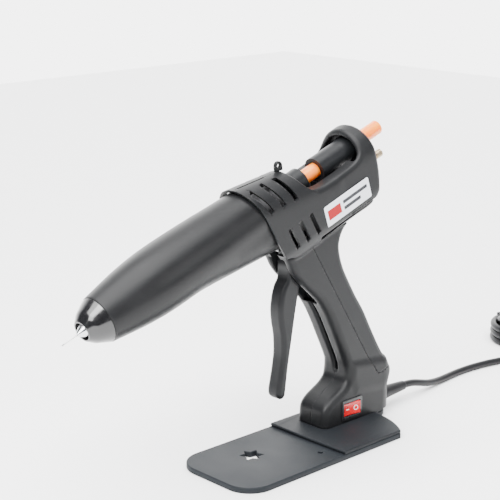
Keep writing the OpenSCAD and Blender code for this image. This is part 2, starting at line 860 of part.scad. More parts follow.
// Points of a ring of n corners of radius r round c, square to the direction d.
function ring(c, d, r, n) =
  let (u = d / norm(d), a = abs(u[2]) < 0.9 ? [0, 0, 1] : [1, 0, 0],
       p = cross(u, a) / norm(cross(u, a)), q = cross(u, p))
  [for (k = [0 : n - 1]) c + r * (cos(360 * k / n) * p + sin(360 * k / n) * q)];

// A closed tube of radius r along a list of points.
module tube(pts, r, n) {
  m = len(pts);
  corners = [for (i = [0 : m - 1]) each ring(pts[i], pts[min(i + 1, m - 1)] - pts[max(i - 1, 0)], r, n)];
  sides = [for (i = [0 : m - 2], k = [0 : n - 1])
    [i * n + k, i * n + (k + 1) % n, (i + 1) * n + (k + 1) % n, (i + 1) * n + k]];
  polyhedron(points = corners, faces = concat(sides, [[for (k = [n - 1 : -1 : 0]) k]],
                                               [[for (k = [0 : n - 1]) (m - 1) * n + k]]), convexity = 6);
}

// Torsion spring beside the trigger's hub, round its pivot pin.
module trigger_spring() {
  wire_r = 0.7;
  spring_r = pivot_r + 2;
  turns = 3;
  steps = 12;
  color("#c3c6c9") barrel() translate([pivot_s, trigger_hw + 1, pivot_e]) tube([
    for (i = [0 : turns * steps])
      [spring_r * cos(360 * i / steps), 0.9 + 1.7 * i / steps, spring_r * sin(360 * i / steps)]], wire_r, 6);
}

// ---- switch and wiring ----

module switch_bezel() {
  color("#0e0f10") difference() {
    union() {
      translate([switch_x - switch_l / 2, -foot_hw - 1.2, switch_z - switch_h / 2])
        cube([switch_l, 1.2, switch_h]);
      translate([switch_x - switch_l / 2 + 1.8, -foot_hw - 0.1, switch_z - switch_h / 2 + 1.3])
        cube([switch_l - 3.6, 15, switch_h - 2.6]);
    }
    translate([switch_x - 12.6, -foot_hw - 2, switch_z - 7.3]) cube([25.2, 13, 14.6]);
    translate([switch_x, 4.8 - foot_hw, switch_z - 8.7]) cylinder(h = 17.4, r = 1.2 + fit);
  }
}

module switch_terminals() {
  color("#c8a860") for (x = [-8, 0, 8])
    translate([switch_x + x - 0.4, 15 - foot_hw - 0.1, switch_z - 3]) cube([0.8, 5, 6]);
}

module switch_rocker() {
  color("#d3121e") translate([switch_x, 4.8 - foot_hw, switch_z]) rotate([0, 0, -rocker_tilt]) {
    translate([0, 0, -7]) linear_extrude(14)
      polygon([[-11.7, -6.5], [0, -5.2], [11.7, -6.5], [11.7, 1], [0, 3.5], [-11.7, 1]]);
    translate([0, 0, -8.5]) cylinder(h = 17, r = 1.2);
  }
}

module control_board() {
  color("#2f6b3a") translate([57, 12, 14]) cube([46, 1.6, 22]);
}

module board_parts() {
  color("#55585c") {
    translate([59, 4.5, 16]) cube([14, 7.5, 12]);
    translate([80, 12, 30]) rotate([90, 0, 0]) cylinder(h = 7, r = 3.6);
    translate([88, 6, 18]) cube([5, 6, 9]);
    translate([95.5, 8, 17]) cube([6, 4, 6]);
  }
}

module terminal_block() {
  color("#d9d6cc") translate([91, -10, foot_floor]) difference() {
    cube([9, 12, 9]);
    for (y = [3, 9])
      translate([4.5, y, 3]) cylinder(h = 10, r = 1.4);
  }
}

module cord_clamp() {
  color("#303236") difference() {
    translate([104, -11, foot_floor]) cube([8, 20, 12.6]);
    translate([103, 0, exit_z]) rotate([0, 90, 0]) cylinder(h = 10, r = cord_d / 2 + 0.15);
    for (y = [-8, 6.5])
      translate([108, y, foot_floor + 4]) cylinder(h = 12, r = 1.5);
  }
}

module strain_relief() {
  color("#17181a") translate([exit_x, 0, exit_z]) rotate([0, 90, 0]) rotate_extrude() polygon([
    [cord_d / 2 + 0.2, -wall - 3.5], [neck_r + 0.6, -wall - 3.5], [neck_r + 0.6, -wall - 1.5],
    [neck_r, -wall - 1.5], [neck_r, 0.4], [relief_r, 0.4], [relief_r, 3], [relief_r - 0.8, 4.5],
    [cord_d / 2 + 1.3, relief_l],
    [cord_d / 2 + 0.2, relief_l]]);
}

module cord() {
  color("#121314") tube(cord_route, cord_d / 2, 10);
}

module cord_coil() {
  color("#121314") translate([coil_centre[0] + gap, coil_centre[1], 0]) rotate_extrude()
    translate([coil_turn_r - coil_half, 0]) square([2 * coil_half, coil_h]);
}

module coil_tie() {
  color("#2a2b2d") translate([coil_centre[0] + gap, coil_centre[1] + coil_turn_r, 0]) difference() {
    translate([-2.5, -coil_half - 1, 0]) cube([5, 2 * coil_half + 2, coil_h + 1]);
    translate([0, -coil_turn_r, -eps]) rotate_extrude()
      translate([coil_turn_r - coil_half - slip, 0]) square([2 * coil_half + 2 * slip, coil_h + slip + eps]);
  }
}

// The plug lies on the coil.
plug_z = coil_h + 13;

module plug_body() {
  color("#141516") translate([coil_centre[0] - 12, coil_centre[1] - 35.5, plug_z]) rotate([0, 90, 0]) {
    rotate_extrude()
      polygon([[0, 0], [5.5, 0], [7, 12], [11.5, 17], [12.5, 22], [12.5, 38], [11.5, 40], [0, 40]]);
  }
}

module plug_pins() {
  color("#c8cacd") translate([coil_centre[0] + 28, coil_centre[1] - 35.5, plug_z])
    for (y = [-6.5, 6.5])
      translate([0, y, 0]) rotate([0, 90, 0]) cylinder(h = 18, r = 2.4);
}

stand_plate();
stand_pad();
stand_screws();
left_shell();
right_shell();
shell_screws();
grip_cover();
label_plate();
suspension_eye();
barrel_cover();
nozzle_boot();
nozzle();
nozzle_needle();
melt_chamber();
heater_cartridges();
thermostat();
front_spacer();
rear_spacer();
inlet_sleeve();
guide_rods();
lead_bundle();
stroke_adjuster();
adjuster_knob();
adjuster_nut();
feed_carriage();
clamp_jaw();
jaw_pin();
drive_links();
link_pin();
glue_stick();
trigger();
drive_pin();
trigger_pin();
trigger_spring();
switch_bezel();
switch_terminals();
switch_rocker();
control_board();
board_parts();
terminal_block();
cord_clamp();
strain_relief();
cord();
cord_coil();
coil_tie();
plug_body();
plug_pins();
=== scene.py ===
import json
import math

import bmesh
import bpy
import numpy as np
from mathutils import Matrix, Vector

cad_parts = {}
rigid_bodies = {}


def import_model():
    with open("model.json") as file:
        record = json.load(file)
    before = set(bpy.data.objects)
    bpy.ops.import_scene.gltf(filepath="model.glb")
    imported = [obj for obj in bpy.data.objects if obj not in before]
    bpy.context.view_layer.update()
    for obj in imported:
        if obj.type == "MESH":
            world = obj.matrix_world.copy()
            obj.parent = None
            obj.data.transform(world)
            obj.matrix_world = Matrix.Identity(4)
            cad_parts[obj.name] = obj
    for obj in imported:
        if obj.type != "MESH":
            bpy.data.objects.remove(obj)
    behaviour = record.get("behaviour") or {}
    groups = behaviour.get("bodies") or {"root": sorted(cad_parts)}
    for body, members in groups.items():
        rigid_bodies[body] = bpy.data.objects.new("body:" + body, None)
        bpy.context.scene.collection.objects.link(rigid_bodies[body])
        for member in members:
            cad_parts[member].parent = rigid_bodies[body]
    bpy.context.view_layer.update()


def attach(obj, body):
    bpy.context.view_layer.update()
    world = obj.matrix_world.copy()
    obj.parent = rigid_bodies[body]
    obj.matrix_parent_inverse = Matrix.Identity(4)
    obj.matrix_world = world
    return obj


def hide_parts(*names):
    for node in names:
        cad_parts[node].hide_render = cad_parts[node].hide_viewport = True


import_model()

# Everything is worked out in millimetres and turned into metres as a mesh is made.
# The barrel has its own frame, tilted nose down: s runs rearwards along it, e is square to it.
MM = 0.001
TILT = math.radians(19.5)
AXIS_X, AXIS_Z = -75.0, 244.3
COS, SIN = math.cos(TILT), math.sin(TILT)
PAD_TOP = 9.8                       # height of the stand's raised pad, where the foot stands
FOOT_HW = 21.0                      # half widths of the foot, the handle and the housing
HANDLE_HW = 20.0
HOUSE_HW = 30.5
EXIT_X, EXIT_Z = 144.0, 17.0        # where the cord leaves the foot
CORD_D = 8.0
STICK_R = 7.5
PIVOT_S, PIVOT_E = 60.6, -68.5      # the trigger's pivot pin
PIVOT_BORE = 3.05
ARM_S, ARM_E = 69.6, -29.54         # the drive pin, at the end of the trigger's arm
COLLAR_R = 33.0
EDGE_S = 15.6                       # station of the collar's slanted front edge, level with the axis
SLANT = math.radians(13)            # its slant
LEAN = math.radians(9.9)            # fall of the collar's round top towards the rear
STAND_SCREW_X, STAND_SCREW_Y = (52, 122), 10
SWITCH_X, SWITCH_Z = 74.4, 24.1     # the middle of the switch


def from_barrel(s, y, e):
    """A place in the barrel's frame, given in the stand's frame."""
    return AXIS_X + COS * s - SIN * e, y, AXIS_Z + SIN * s + COS * e


def to_barrel(x, z):
    """Station and height in the barrel's frame of a place in the stand's frame."""
    dx, dz = x - AXIS_X, z - AXIS_Z
    return COS * dx + SIN * dz, COS * dz - SIN * dx


# ---------------------------------------------------------------- camera

def make_camera():
    aim = Vector((-0.075, 0.0, 0.1649))
    azimuth, elevation, distance = math.radians(-43.09), math.radians(17.05), 1.35784
    back = Vector((math.sin(azimuth) * math.cos(elevation), -math.cos(azimuth) * math.cos(elevation),
                   math.sin(elevation)))
    data = bpy.data.cameras.new("camera")
    data.lens = 100.8
    data.sensor_width = 36.0
    data.shift_x = 0.03
    data.shift_y = 0.11
    camera = bpy.data.objects.new("camera", data)
    camera.location = aim + distance * back
    camera.rotation_euler = (-back).to_track_quat("-Z", "Y").to_euler()
    bpy.context.collection.objects.link(camera)
    bpy.context.scene.camera = camera


make_camera()


# ---------------------------------------------------------------- materials

def new_material(name, color, roughness, metallic=0.0):
    material = bpy.data.materials.new(name)
    material.use_nodes = True
    shader = material.node_tree.nodes["Principled BSDF"]
    shader.inputs["Base Color"].default_value = (*color, 1.0)
    shader.inputs["Roughness"].default_value = roughness
    shader.inputs["Metallic"].default_value = metallic
    return material, material.node_tree.nodes, material.node_tree.links, shader


def noise(nodes, links, scale, detail=3.0, stretch=None, roughness=0.55):
    """A noise texture in object space, stretched along an axis if asked."""
    coordinates = nodes.new("ShaderNodeTexCoord")
    source = coordinates.outputs["Object"]
    if stretch:
        mapping = nodes.new("ShaderNodeMapping")
        mapping.inputs["Rotation"].default_value = (0.0, TILT, 0.0)
        mapping.inputs["Scale"].default_value = stretch
        links.new(source, mapping.inputs["Vector"])
        source = mapping.outputs["Vector"]
    texture = nodes.new("ShaderNodeTexNoise")
    texture.inputs["Scale"].default_value = scale
    texture.inputs["Detail"].default_value = detail
    texture.inputs["Roughness"].default_value = roughness
    links.new(source, texture.inputs["Vector"])
    return texture.outputs["Fac"]


def ramp(nodes, links, source, low, high):
    """Maps 0.3 to 0.7 of a texture onto low to high, as a number or a colour."""
    node = nodes.new("ShaderNodeValToRGB")
    node.color_ramp.elements[0].position = 0.3
    node.color_ramp.elements[1].position = 0.7
    for element, value in zip(node.color_ramp.elements, (low, high)):
        value = (value,) * 3 if isinstance(value, float) else value
        element.color = (*value, 1.0)
    links.new(source, node.inputs["Fac"])
    return node.outputs["Color"]


def bumps(nodes, links, shader, layers):
    """Adds bump layers, each (texture output, strength, depth in mm), one on top of another."""
    normal = None
    for source, strength, depth in layers:
        node = nodes.new("ShaderNodeBump")
        node.inputs["Strength"].default_value = strength
        node.inputs["Distance"].default_value = depth * MM
        links.new(source, node.inputs["Height"])
        if normal:
            links.new(normal, node.inputs["Normal"])
        normal = node.outputs["Normal"]
    links.new(normal, shader.inputs["Normal"])


def moulded(name, color, roughness, grain_mm=0.45, grain=0.35, spread=0.12):
    """Moulded plastic: spark-eroded grain, a faint unevenness, and colour that varies a little."""
    material, nodes, links, shader = new_material(name, color, roughness)
    shader.inputs["IOR"].default_value = 1.5
    shader.inputs["Specular IOR Level"].default_value = 0.20
    grain_map = noise(nodes, links, 1.0 / (grain_mm * MM), 2.0)
    uneven = noise(nodes, links, 1.0 / (14 * MM), 3.0)
    smudge = noise(nodes, links, 1.0 / (55 * MM), 5.0)
    dark = tuple(c * (1 - spread) for c in color)
    light = tuple(min(1.0, c * (1 + spread)) for c in color)
    links.new(ramp(nodes, links, smudge, dark, light), shader.inputs["Base Color"])
    links.new(ramp(nodes, links, smudge, roughness - 0.05, roughness + 0.06), shader.inputs["Roughness"])
    bumps(nodes, links, shader, [(grain_map, grain, 0.12), (uneven, 0.10, 0.5)])
    return material


def metal(name, color, roughness, brushed=None, grain=0.15):
    """Metal whose roughness and colour vary with wear, brushed along an axis if asked."""
    material, nodes, links, shader = new_material(name, color, roughness, 1.0)
    fine = noise(nodes, links, 1.0 / (0.6 * MM), 4.0, brushed)
    wear = noise(nodes, links, 1.0 / (9 * MM), 4.0)
    links.new(ramp(nodes, links, wear, roughness * 0.75, min(1.0, roughness * 1.35)),
              shader.inputs["Roughness"])
    dark = tuple(c * 0.82 for c in color)
    links.new(ramp(nodes, links, wear, dark, color), shader.inputs["Base Color"])
    bumps(nodes, links, shader, [(fine, grain, 0.05)])
    return material


def amber_wax():
    """The glue stick: translucent amber with faint milky streaks along it."""
    material, nodes, links, shader = new_material("glue_amber", (0.95, 0.42, 0.06), 0.34)
    shader.inputs["Subsurface Weight"].default_value = 0.85
    shader.inputs["Subsurface Radius"].default_value = (1.0, 0.42, 0.10)
    shader.inputs["Subsurface Scale"].default_value = 0.006
    shader.inputs["Coat Weight"].default_value = 0.25
    shader.inputs["Coat Roughness"].default_value = 0.2
    streaks = noise(nodes, links, 1.0 / (4 * MM), 4.0, (0.15, 1.0, 1.0))
    links.new(ramp(nodes, links, streaks, (0.92, 0.20, 0.006), (1.0, 0.31, 0.02)), shader.inputs["Base Color"])
    bumps(nodes, links, shader, [(streaks, 0.25, 0.15)])
    return material


def glossy(name, color, roughness, coat=0.5):
    """Polished plastic under a clear coat, with a faint haze."""
    material, nodes, links, shader = new_material(name, color, roughness)
    shader.inputs["Coat Weight"].default_value = coat
    shader.inputs["Coat Roughness"].default_value = 0.08
    haze = noise(nodes, links, 1.0 / (6 * MM), 4.0)
    links.new(ramp(nodes, links, haze, roughness * 0.7, roughness * 1.5), shader.inputs["Roughness"])
    fine = noise(nodes, links, 1.0 / (1.2 * MM), 3.0)
    bumps(nodes, links, shader, [(fine, 0.05, 0.05), (haze, 0.06, 0.3)])
    return material


def woven_sleeve():
    """The glass sleeve over the heater leads."""
    material, nodes, links, shader = new_material("lead_sleeve", (0.32, 0.33, 0.34), 0.8)
    coordinates = nodes.new("ShaderNodeTexCoord")
    weave = nodes.new("ShaderNodeTexVoronoi")
    weave.inputs["Scale"].default_value = 1.0 / (0.9 * MM)
    links.new(coordinates.outputs["Object"], weave.inputs["Vector"])
    links.new(ramp(nodes, links, weave.outputs["Distance"], (0.22, 0.22, 0.23), (0.45, 0.46, 0.47)),
              shader.inputs["Base Color"])
    bumps(nodes, links, shader, [(weave.outputs["Distance"], 0.6, 0.3)])
    return material


# Colour, roughness, then what the material's own function takes
PLASTICS = {
    "shell_plastic": ((0.0075, 0.0078, 0.0085), 0.40, 0.5, 0.32),
    "barrel_plastic": ((0.0080, 0.0082, 0.0088), 0.36, 0.6, 0.65),
    "grip_plastic": ((0.0068, 0.0071, 0.0080), 0.43, 0.5, 0.34),
    "trigger_plastic": ((0.0072, 0.0075, 0.0084), 0.38, 0.5, 0.30),
    "stand_coat": ((0.0070, 0.0090, 0.0115), 0.55, 0.7, 0.45),
    "pad_coat": ((0.0066, 0.0080, 0.0100), 0.58, 0.9, 0.65),
    "symbol_white": ((0.85, 0.85, 0.84), 0.45, 0.5, 0.1, 0.03),
    "label_white": ((0.78, 0.80, 0.85), 0.38, 0.8, 0.06, 0.03),
    "label_red": ((0.34, 0.002, 0.005), 0.4, 0.8, 0.06, 0.05),
    "label_grey": ((0.03, 0.03, 0.035), 0.4, 0.8, 0.06, 0.05),
    "inner_black": ((0.0085, 0.0090, 0.0100), 0.36, 0.5, 0.25),
    "cord_rubber": ((0.0080, 0.0080, 0.0090), 0.42, 0.8, 0.20),
    "tie_strap": ((0.05, 0.05, 0.053), 0.6, 0.6, 0.4),
    "spacer_board": ((0.62, 0.58, 0.50), 0.85, 1.2, 0.5),
    "heater_ceramic": ((0.30, 0.28, 0.24), 0.8, 0.8, 0.4),
    "thermostat_body": ((0.26, 0.20, 0.11), 0.6, 0.8, 0.3),
    "board_green": ((0.02, 0.14, 0.04), 0.35, 1.0, 0.2),
    "component_grey": ((0.06, 0.062, 0.066), 0.5, 0.6, 0.3),
    "terminal_white": ((0.66, 0.65, 0.60), 0.5, 0.6, 0.2),
}
POLISHED = {
    "boot_gloss": ((0.0035, 0.0035, 0.004), 0.18),
    "bezel_black": ((0.006, 0.006, 0.007), 0.32, 0.2),
    "rocker_red": ((0.62, 0.003, 0.008), 0.18, 0.6),
}
METALS = {
    "nozzle_steel": ((0.80, 0.80, 0.81), 0.16, (1.0, 0.05, 1.0)),
    "chamber_alloy": ((0.16, 0.16, 0.165), 0.62, None, 0.4),
    "rod_steel": ((0.62, 0.62, 0.64), 0.25, (0.05, 1.0, 1.0)),
    "zinc_steel": ((0.26, 0.265, 0.27), 0.46),
    "adjuster_brass": ((0.62, 0.50, 0.34), 0.28),
    "terminal_brass": ((0.72, 0.55, 0.25), 0.35),
    "pin_nickel": ((0.72, 0.71, 0.68), 0.22),
}

MATERIALS = {"glue_amber": amber_wax(), "lead_sleeve": woven_sleeve()}
for make, looks in ((moulded, PLASTICS), (glossy, POLISHED), (metal, METALS)):
    MATERIALS.update({name: make(name, *look) for name, look in looks.items()})


# ---------------------------------------------------------------- making pieces

def finish_piece(mesh, name, material, body, replaced=()):
    """Links a mesh as a piece that rides on a body and stands for CAD nodes."""
    piece = bpy.data.objects.new(name, mesh)
    bpy.context.collection.objects.link(piece)
    mesh.materials.append(MATERIALS[material])
    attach(piece, body)
    if replaced:
        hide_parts(*replaced)
    return piece


def mesh_from(points, faces, name, sharp_degrees=None):
    """A mesh from points in millimetres; smooth all over, or with sharp edges above an angle."""
    mesh = bpy.data.meshes.new(name)
    mesh.from_pydata([(x * MM, y * MM, z * MM) for x, y, z in points], [], faces)
    mesh.polygons.foreach_set("use_smooth", [True] * len(mesh.polygons))
    if sharp_degrees:
        mesh.set_sharp_from_angle(angle=math.radians(sharp_degrees))
    mesh.update()
    return mesh


def rounded(corners, steps=5):
    """Rounds the corners of an open run of points (a, b, radius) with arcs made as curves."""
    points = []
    last = len(corners) - 1
    for i, (a, b, radius) in enumerate(corners):
        if radius <= 0 or i in (0, last):
            points.append((a, b))
            continue
        here = Vector((a, b))
        before = Vector(corners[i - 1][:2]) - here
        after = Vector(corners[i + 1][:2]) - here
        start = here + before.normalized() * min(radius, before.length * 0.48)
        end = here + after.normalized() * min(radius, after.length * 0.48)
        for k in range(steps + 1):
            t = k / steps
            p = (1 - t) ** 2 * start + 2 * t * (1 - t) * here + t * t * end
            points.append((p.x, p.y))
    return points


def lathe(name, profile, place, turns=72, ring=False):
    """Turns a profile of (station, radius) round an axis; place(s, a, b) gives the point.
    The profile runs from the axis to the axis, or is a closed ring."""
    points = []
    faces = []
    rows = []
    for s, r in profile:
        if r < 1e-6 and not ring:
            rows.append([len(points)] * turns)
            points.append(place(s, 0.0, 0.0))
            continue
        rows.append(list(range(len(points), len(points) + turns)))
        for k in range(turns):
            angle = 2 * math.pi * k / turns
            points.append(place(s, r * math.sin(angle), r * math.cos(angle)))
    pairs = list(zip(rows, rows[1:])) + ([(rows[-1], rows[0])] if ring else [])
    for low, high in pairs:
        for k in range(turns):
            n = (k + 1) % turns
            face = []
            for corner in (low[k], low[n], high[n], high[k]):
                if corner not in face:
                    face.append(corner)
            if len(face) > 2:
                faces.append(face)
    return mesh_from(points, faces, name, 50)


def bm_mesh(bm, name, sharp_degrees=40):
    """Turns a bmesh into a smooth mesh with sharp edges above an angle."""
    bmesh.ops.recalc_face_normals(bm, faces=bm.faces[:])
    mesh = bpy.data.meshes.new(name)
    bm.to_mesh(mesh)
    bm.free()
    mesh.polygons.foreach_set("use_smooth", [True] * len(mesh.polygons))
    mesh.set_sharp_from_angle(angle=math.radians(sharp_degrees))
    return mesh


def take_in(bm, mesh):
    """Adds a mesh to a bmesh and drops the mesh."""
    bm.from_mesh(mesh)
    bpy.data.meshes.remove(mesh)


def prism(bm, outline, place, depth0, depth1, bevel):
    """Adds an outline of (a, b) to a bmesh, from depth0 to depth1, its ends' edges rounded; place(a, b, d)."""
    rings = [[bm.verts.new(Vector(place(a, b, depth)) * MM) for a, b in outline] for depth in (depth0, depth1)]
    count = len(outline)
    faces = [bm.faces.new(rings[0]), bm.faces.new(rings[1][::-1])]
    for k in range(count):
        n = (k + 1) % count
        faces.append(bm.faces.new((rings[0][k], rings[1][k], rings[1][n], rings[0][n])))
    edges = set(faces[0].edges) | set(faces[1].edges)
    bmesh.ops.bevel(bm, geom=list(edges), offset=bevel * MM, segments=2, profile=0.5, affect="EDGES")


def circle_points(radius, count=32, centre=(0.0, 0.0)):
    return [(centre[0] + radius * math.cos(2 * math.pi * k / count),
             centre[1] + radius * math.sin(2 * math.pi * k / count)) for k in range(count)]


# ---------------------------------------------------------------- cord

CORD_ROUTE = [(102, 0, EXIT_Z), (122, 0, EXIT_Z), (EXIT_X, 0, EXIT_Z), (164, 0, EXIT_Z), (186, 0, EXIT_Z),
              (200, 0, 15.6), (214, 0, 12), (228, 1, 8.2), (244, 3, 5.4), (262, 5, 4.2), (284, 7, 4),
              (310, 7, 4), (336, 4, 4), (362, -2, 4), (388, -9, 4), (414, -15, 4), (438, -18, 4), (462, -19, 4)]
COIL_CENTRE = (462.0, 27.0)
COIL_R = 42.0
COIL_PITCH = 8.2
COIL_LAYERS = 3
PLUG_Z = COIL_LAYERS * COIL_PITCH + 13.0
PLUG_X, PLUG_Y = COIL_CENTRE[0] - 12.0, COIL_CENTRE[1] - 35.5


def coil_points():
    """Two turns to a layer: outer then inner, up, inner then outer, and so on. The last leaves for the plug."""
    points = []
    per_turn = 24
    lanes = [(layer, side) for layer in range(COIL_LAYERS) for side in ((1, -1) if layer % 2 == 0 else (-1, 1))]
    for i, (layer, side) in enumerate(lanes):
        for k in range(per_turn):
            part = k / per_turn
            radius = COIL_R + side * COIL_PITCH / 2
            height = CORD_D / 2 + layer * COIL_PITCH
            ease = max(0.0, (part - 0.7) / 0.3)
            ease = ease * ease * (3 - 2 * ease)
            if i == len(lanes) - 1:
                if part > 0.86:
                    break
                rise = max(0.0, (part - 0.42) / 0.5)
                height += (PLUG_Z - height) * rise * rise * (3 - 2 * rise)
            elif i % 2 == 0:
                radius -= side * COIL_PITCH * ease
            else:
                height += COIL_PITCH * ease
            angle = -math.pi / 2 + 2 * math.pi * part
            points.append((COIL_CENTRE[0] + radius * math.cos(angle),
                           COIL_CENTRE[1] + radius * math.sin(angle), height))
    points.append((PLUG_X - 8, PLUG_Y + 2.4, PLUG_Z - 0.3))
    points.append((PLUG_X + 3, PLUG_Y, PLUG_Z))
    return points


def smooth_path(points, steps=4, closed=False):
    """Catmull-Rom through the points, so that a cord or an outline bends evenly."""
    pts = [Vector(p) for p in points]
    if closed:
        pts = pts[-1:] + pts + pts[:2]
    else:
        pts = [2 * pts[0] - pts[1]] + pts + [2 * pts[-1] - pts[-2]]
    out = []
    for a, b, c, d in zip(pts, pts[1:], pts[2:], pts[3:]):
        for k in range(steps):
            t = k / steps
            out.append(0.5 * ((2 * b) + (c - a) * t + (2 * a - 5 * b + 4 * c - d) * t * t
                              + (3 * b - a - 3 * c + d) * t ** 3))
    return out if closed else out + [pts[-2]]


def sweep(name, path, radius, sides):
    """A round tube along a path, closed at both ends, with frames carried along it."""
    points, faces = [], []
    tangents = [(path[min(i + 1, len(path) - 1)] - path[max(i - 1, 0)]).normalized() for i in range(len(path))]
    across = tangents[0].cross(Vector((0, 0, 1)))
    across = across.normalized() if across.length > 1e-3 else Vector((0, 1, 0))
    for p, t in zip(path, tangents):
        across = (across - across.dot(t) * t).normalized()
        up = t.cross(across)
        for k in range(sides):
            angle = 2 * math.pi * k / sides
            points.append(p + radius * (math.cos(angle) * across + math.sin(angle) * up))
    for i in range(len(path) - 1):
        for k in range(sides):
            n = (k + 1) % sides
            faces.append((i * sides + k, (i + 1) * sides + k, (i + 1) * sides + n, i * sides + n))
    faces.append(tuple(range(sides)))
    faces.append(tuple(range(len(points) - 1, len(points) - 1 - sides, -1)))
    return mesh_from(points, faces, name, 60)


def strain_relief():
    profile = rounded([(-6.2, 4.25, 0), (-6.2, 5.9, 0.4), (-4.4, 5.9, 0.4), (-4.4, 5.35, 0.2),
                       (0.45, 5.35, 0.1), (0.45, 8.0, 0.6), (3.4, 8.0, 2.5), (12.0, 7.0, 3.0),
                       (26.0, 6.1, 4.0), (39.0, 5.2, 0.8),
                       (40.0, 4.25, 0.0)])
    return lathe("strain_relief", profile, lambda s, a, b: (EXIT_X + s, a, EXIT_Z + b), 48, ring=True)


def plug_body():
    """A round-backed two-pin plug with finger rings."""
    corners = [(0, 0, 0), (0, 5.3, 1.2), (7, 6.0, 2.0), (11, 7.4, 2.0), (15, 11.0, 3.0), (18, 11.9, 1.2),
               (19.2, 11.2, 0.8), (20.4, 12.3, 1.2), (23, 12.4, 1.0), (24.2, 11.6, 0.8), (25.4, 12.4, 1.2),
               (36.5, 12.4, 1.6), (39.9, 10.6, 1.2), (39.9, 0, 0)]
    return lathe("plug_body", rounded(corners), lambda s, a, b: (PLUG_X + s, PLUG_Y + a, PLUG_Z + b), 56)


def plug_pins():
    bm = bmesh.new()
    for side in (-1, 1):
        profile = rounded([(0, 0, 0), (0, 2.35, 0.0), (10, 2.35, 0.3), (10.3, 2.0, 0.2), (16.4, 2.0, 1.4),
                           (17.9, 0.6, 0.5), (17.9, 0, 0)])
        pin_y = PLUG_Y + side * 6.5
        take_in(bm, lathe("pin", profile, lambda s, a, b: (PLUG_X + 40 + s, pin_y + a, PLUG_Z + b), 28))
    return bm_mesh(bm, "plug_pins")


def coil_tie():
    """A strap round the coil's bundle, with its buckle on top."""
    inner, outer = COIL_R - COIL_PITCH, COIL_R + COIL_PITCH
    top = COIL_LAYERS * COIL_PITCH
    centre_y = COIL_CENTRE[1]
    loop_in = [(inner - 0.15, 0.0), (outer + 0.15, 0.0), (outer + 0.15, top + 0.1), (inner - 0.15, top + 0.1)]
    loop_out = [(inner - 1.0, 0.0), (outer + 1.0, 0.0), (outer + 1.0, top + 0.95), (inner - 1.0, top + 0.95)]
    bm = bmesh.new()
    x0 = COIL_CENTRE[0] + 0.3
    rings = []
    for x in (x0 - 2.5, x0 + 2.5):
        for loop in (loop_in, loop_out):
            rings.append([bm.verts.new((x * MM, (centre_y + y) * MM, z * MM)) for y, z in loop])
    for k in (1, 2, 3):
        n = (k + 1) % 4
        bm.faces.new((rings[0][k], rings[0][n], rings[1][n], rings[1][k]))
        bm.faces.new((rings[2][k], rings[3][k], rings[3][n], rings[2][n]))
        bm.faces.new((rings[1][k], rings[1][n], rings[3][n], rings[3][k]))
        bm.faces.new((rings[0][k], rings[2][k], rings[2][n], rings[0][n]))
    for k in (0, 1):
        bm.faces.new((rings[0][k], rings[1][k], rings[3][k], rings[2][k]))
    bmesh.ops.bevel(bm, geom=bm.edges[:], offset=0.25 * MM, segments=2, profile=0.5, affect="EDGES")
    return bm_mesh(bm, "coil_tie")


def make_cord():
    route = [Vector(p) for p in CORD_ROUTE]
    coil = [Vector(p) for p in coil_points()]
    path = smooth_path(route[:-1] + coil)
    cord = finish_piece(sweep("cord", path, CORD_D / 2, 18), "cord", "cord_rubber", "root",
                        ("cord", "cord_coil"))
    relief = finish_piece(strain_relief(), "strain_relief_boot", "cord_rubber", "root", ("strain_relief",))
    plug = finish_piece(plug_body(), "plug", "cord_rubber", "root", ("plug_body",))
    pins = finish_piece(plug_pins(), "plug_contacts", "pin_nickel", "root", ("plug_pins",))
    tie = finish_piece(coil_tie(), "coil_strap", "tie_strap", "root", ("coil_tie",))


make_cord()


# ---------------------------------------------------------------- smooth solids from distance fields

def both(a, b, radius):
    """Where both solids are, with the edge between them rounded."""
    corner = np.hypot(np.maximum(a + radius, 0), np.maximum(b + radius, 0))
    return np.minimum(np.maximum(a, b), -radius) + corner


def either(a, b, radius):
    """Both solids together, with a fillet of that radius where they meet."""
    corner = np.hypot(np.maximum(radius - a, 0), np.maximum(radius - b, 0))
    return np.maximum(np.minimum(a, b), radius) - corner


def less(a, b, radius):
    """The first solid without the second, with rounded edges."""
    return both(a, -b, radius)


def block(values, radius):
    """A box from its distances (|x| - half, ...) past each pair of faces, its edges rounded."""
    result = values[0]
    for value in values[1:]:
        result = both(result, value, radius)
    return result


def through(points, steps=6, closed=False):
    """A smooth run of (a, b) through chosen points."""
    return [(p.x, p.y) for p in smooth_path(points, steps, closed)]


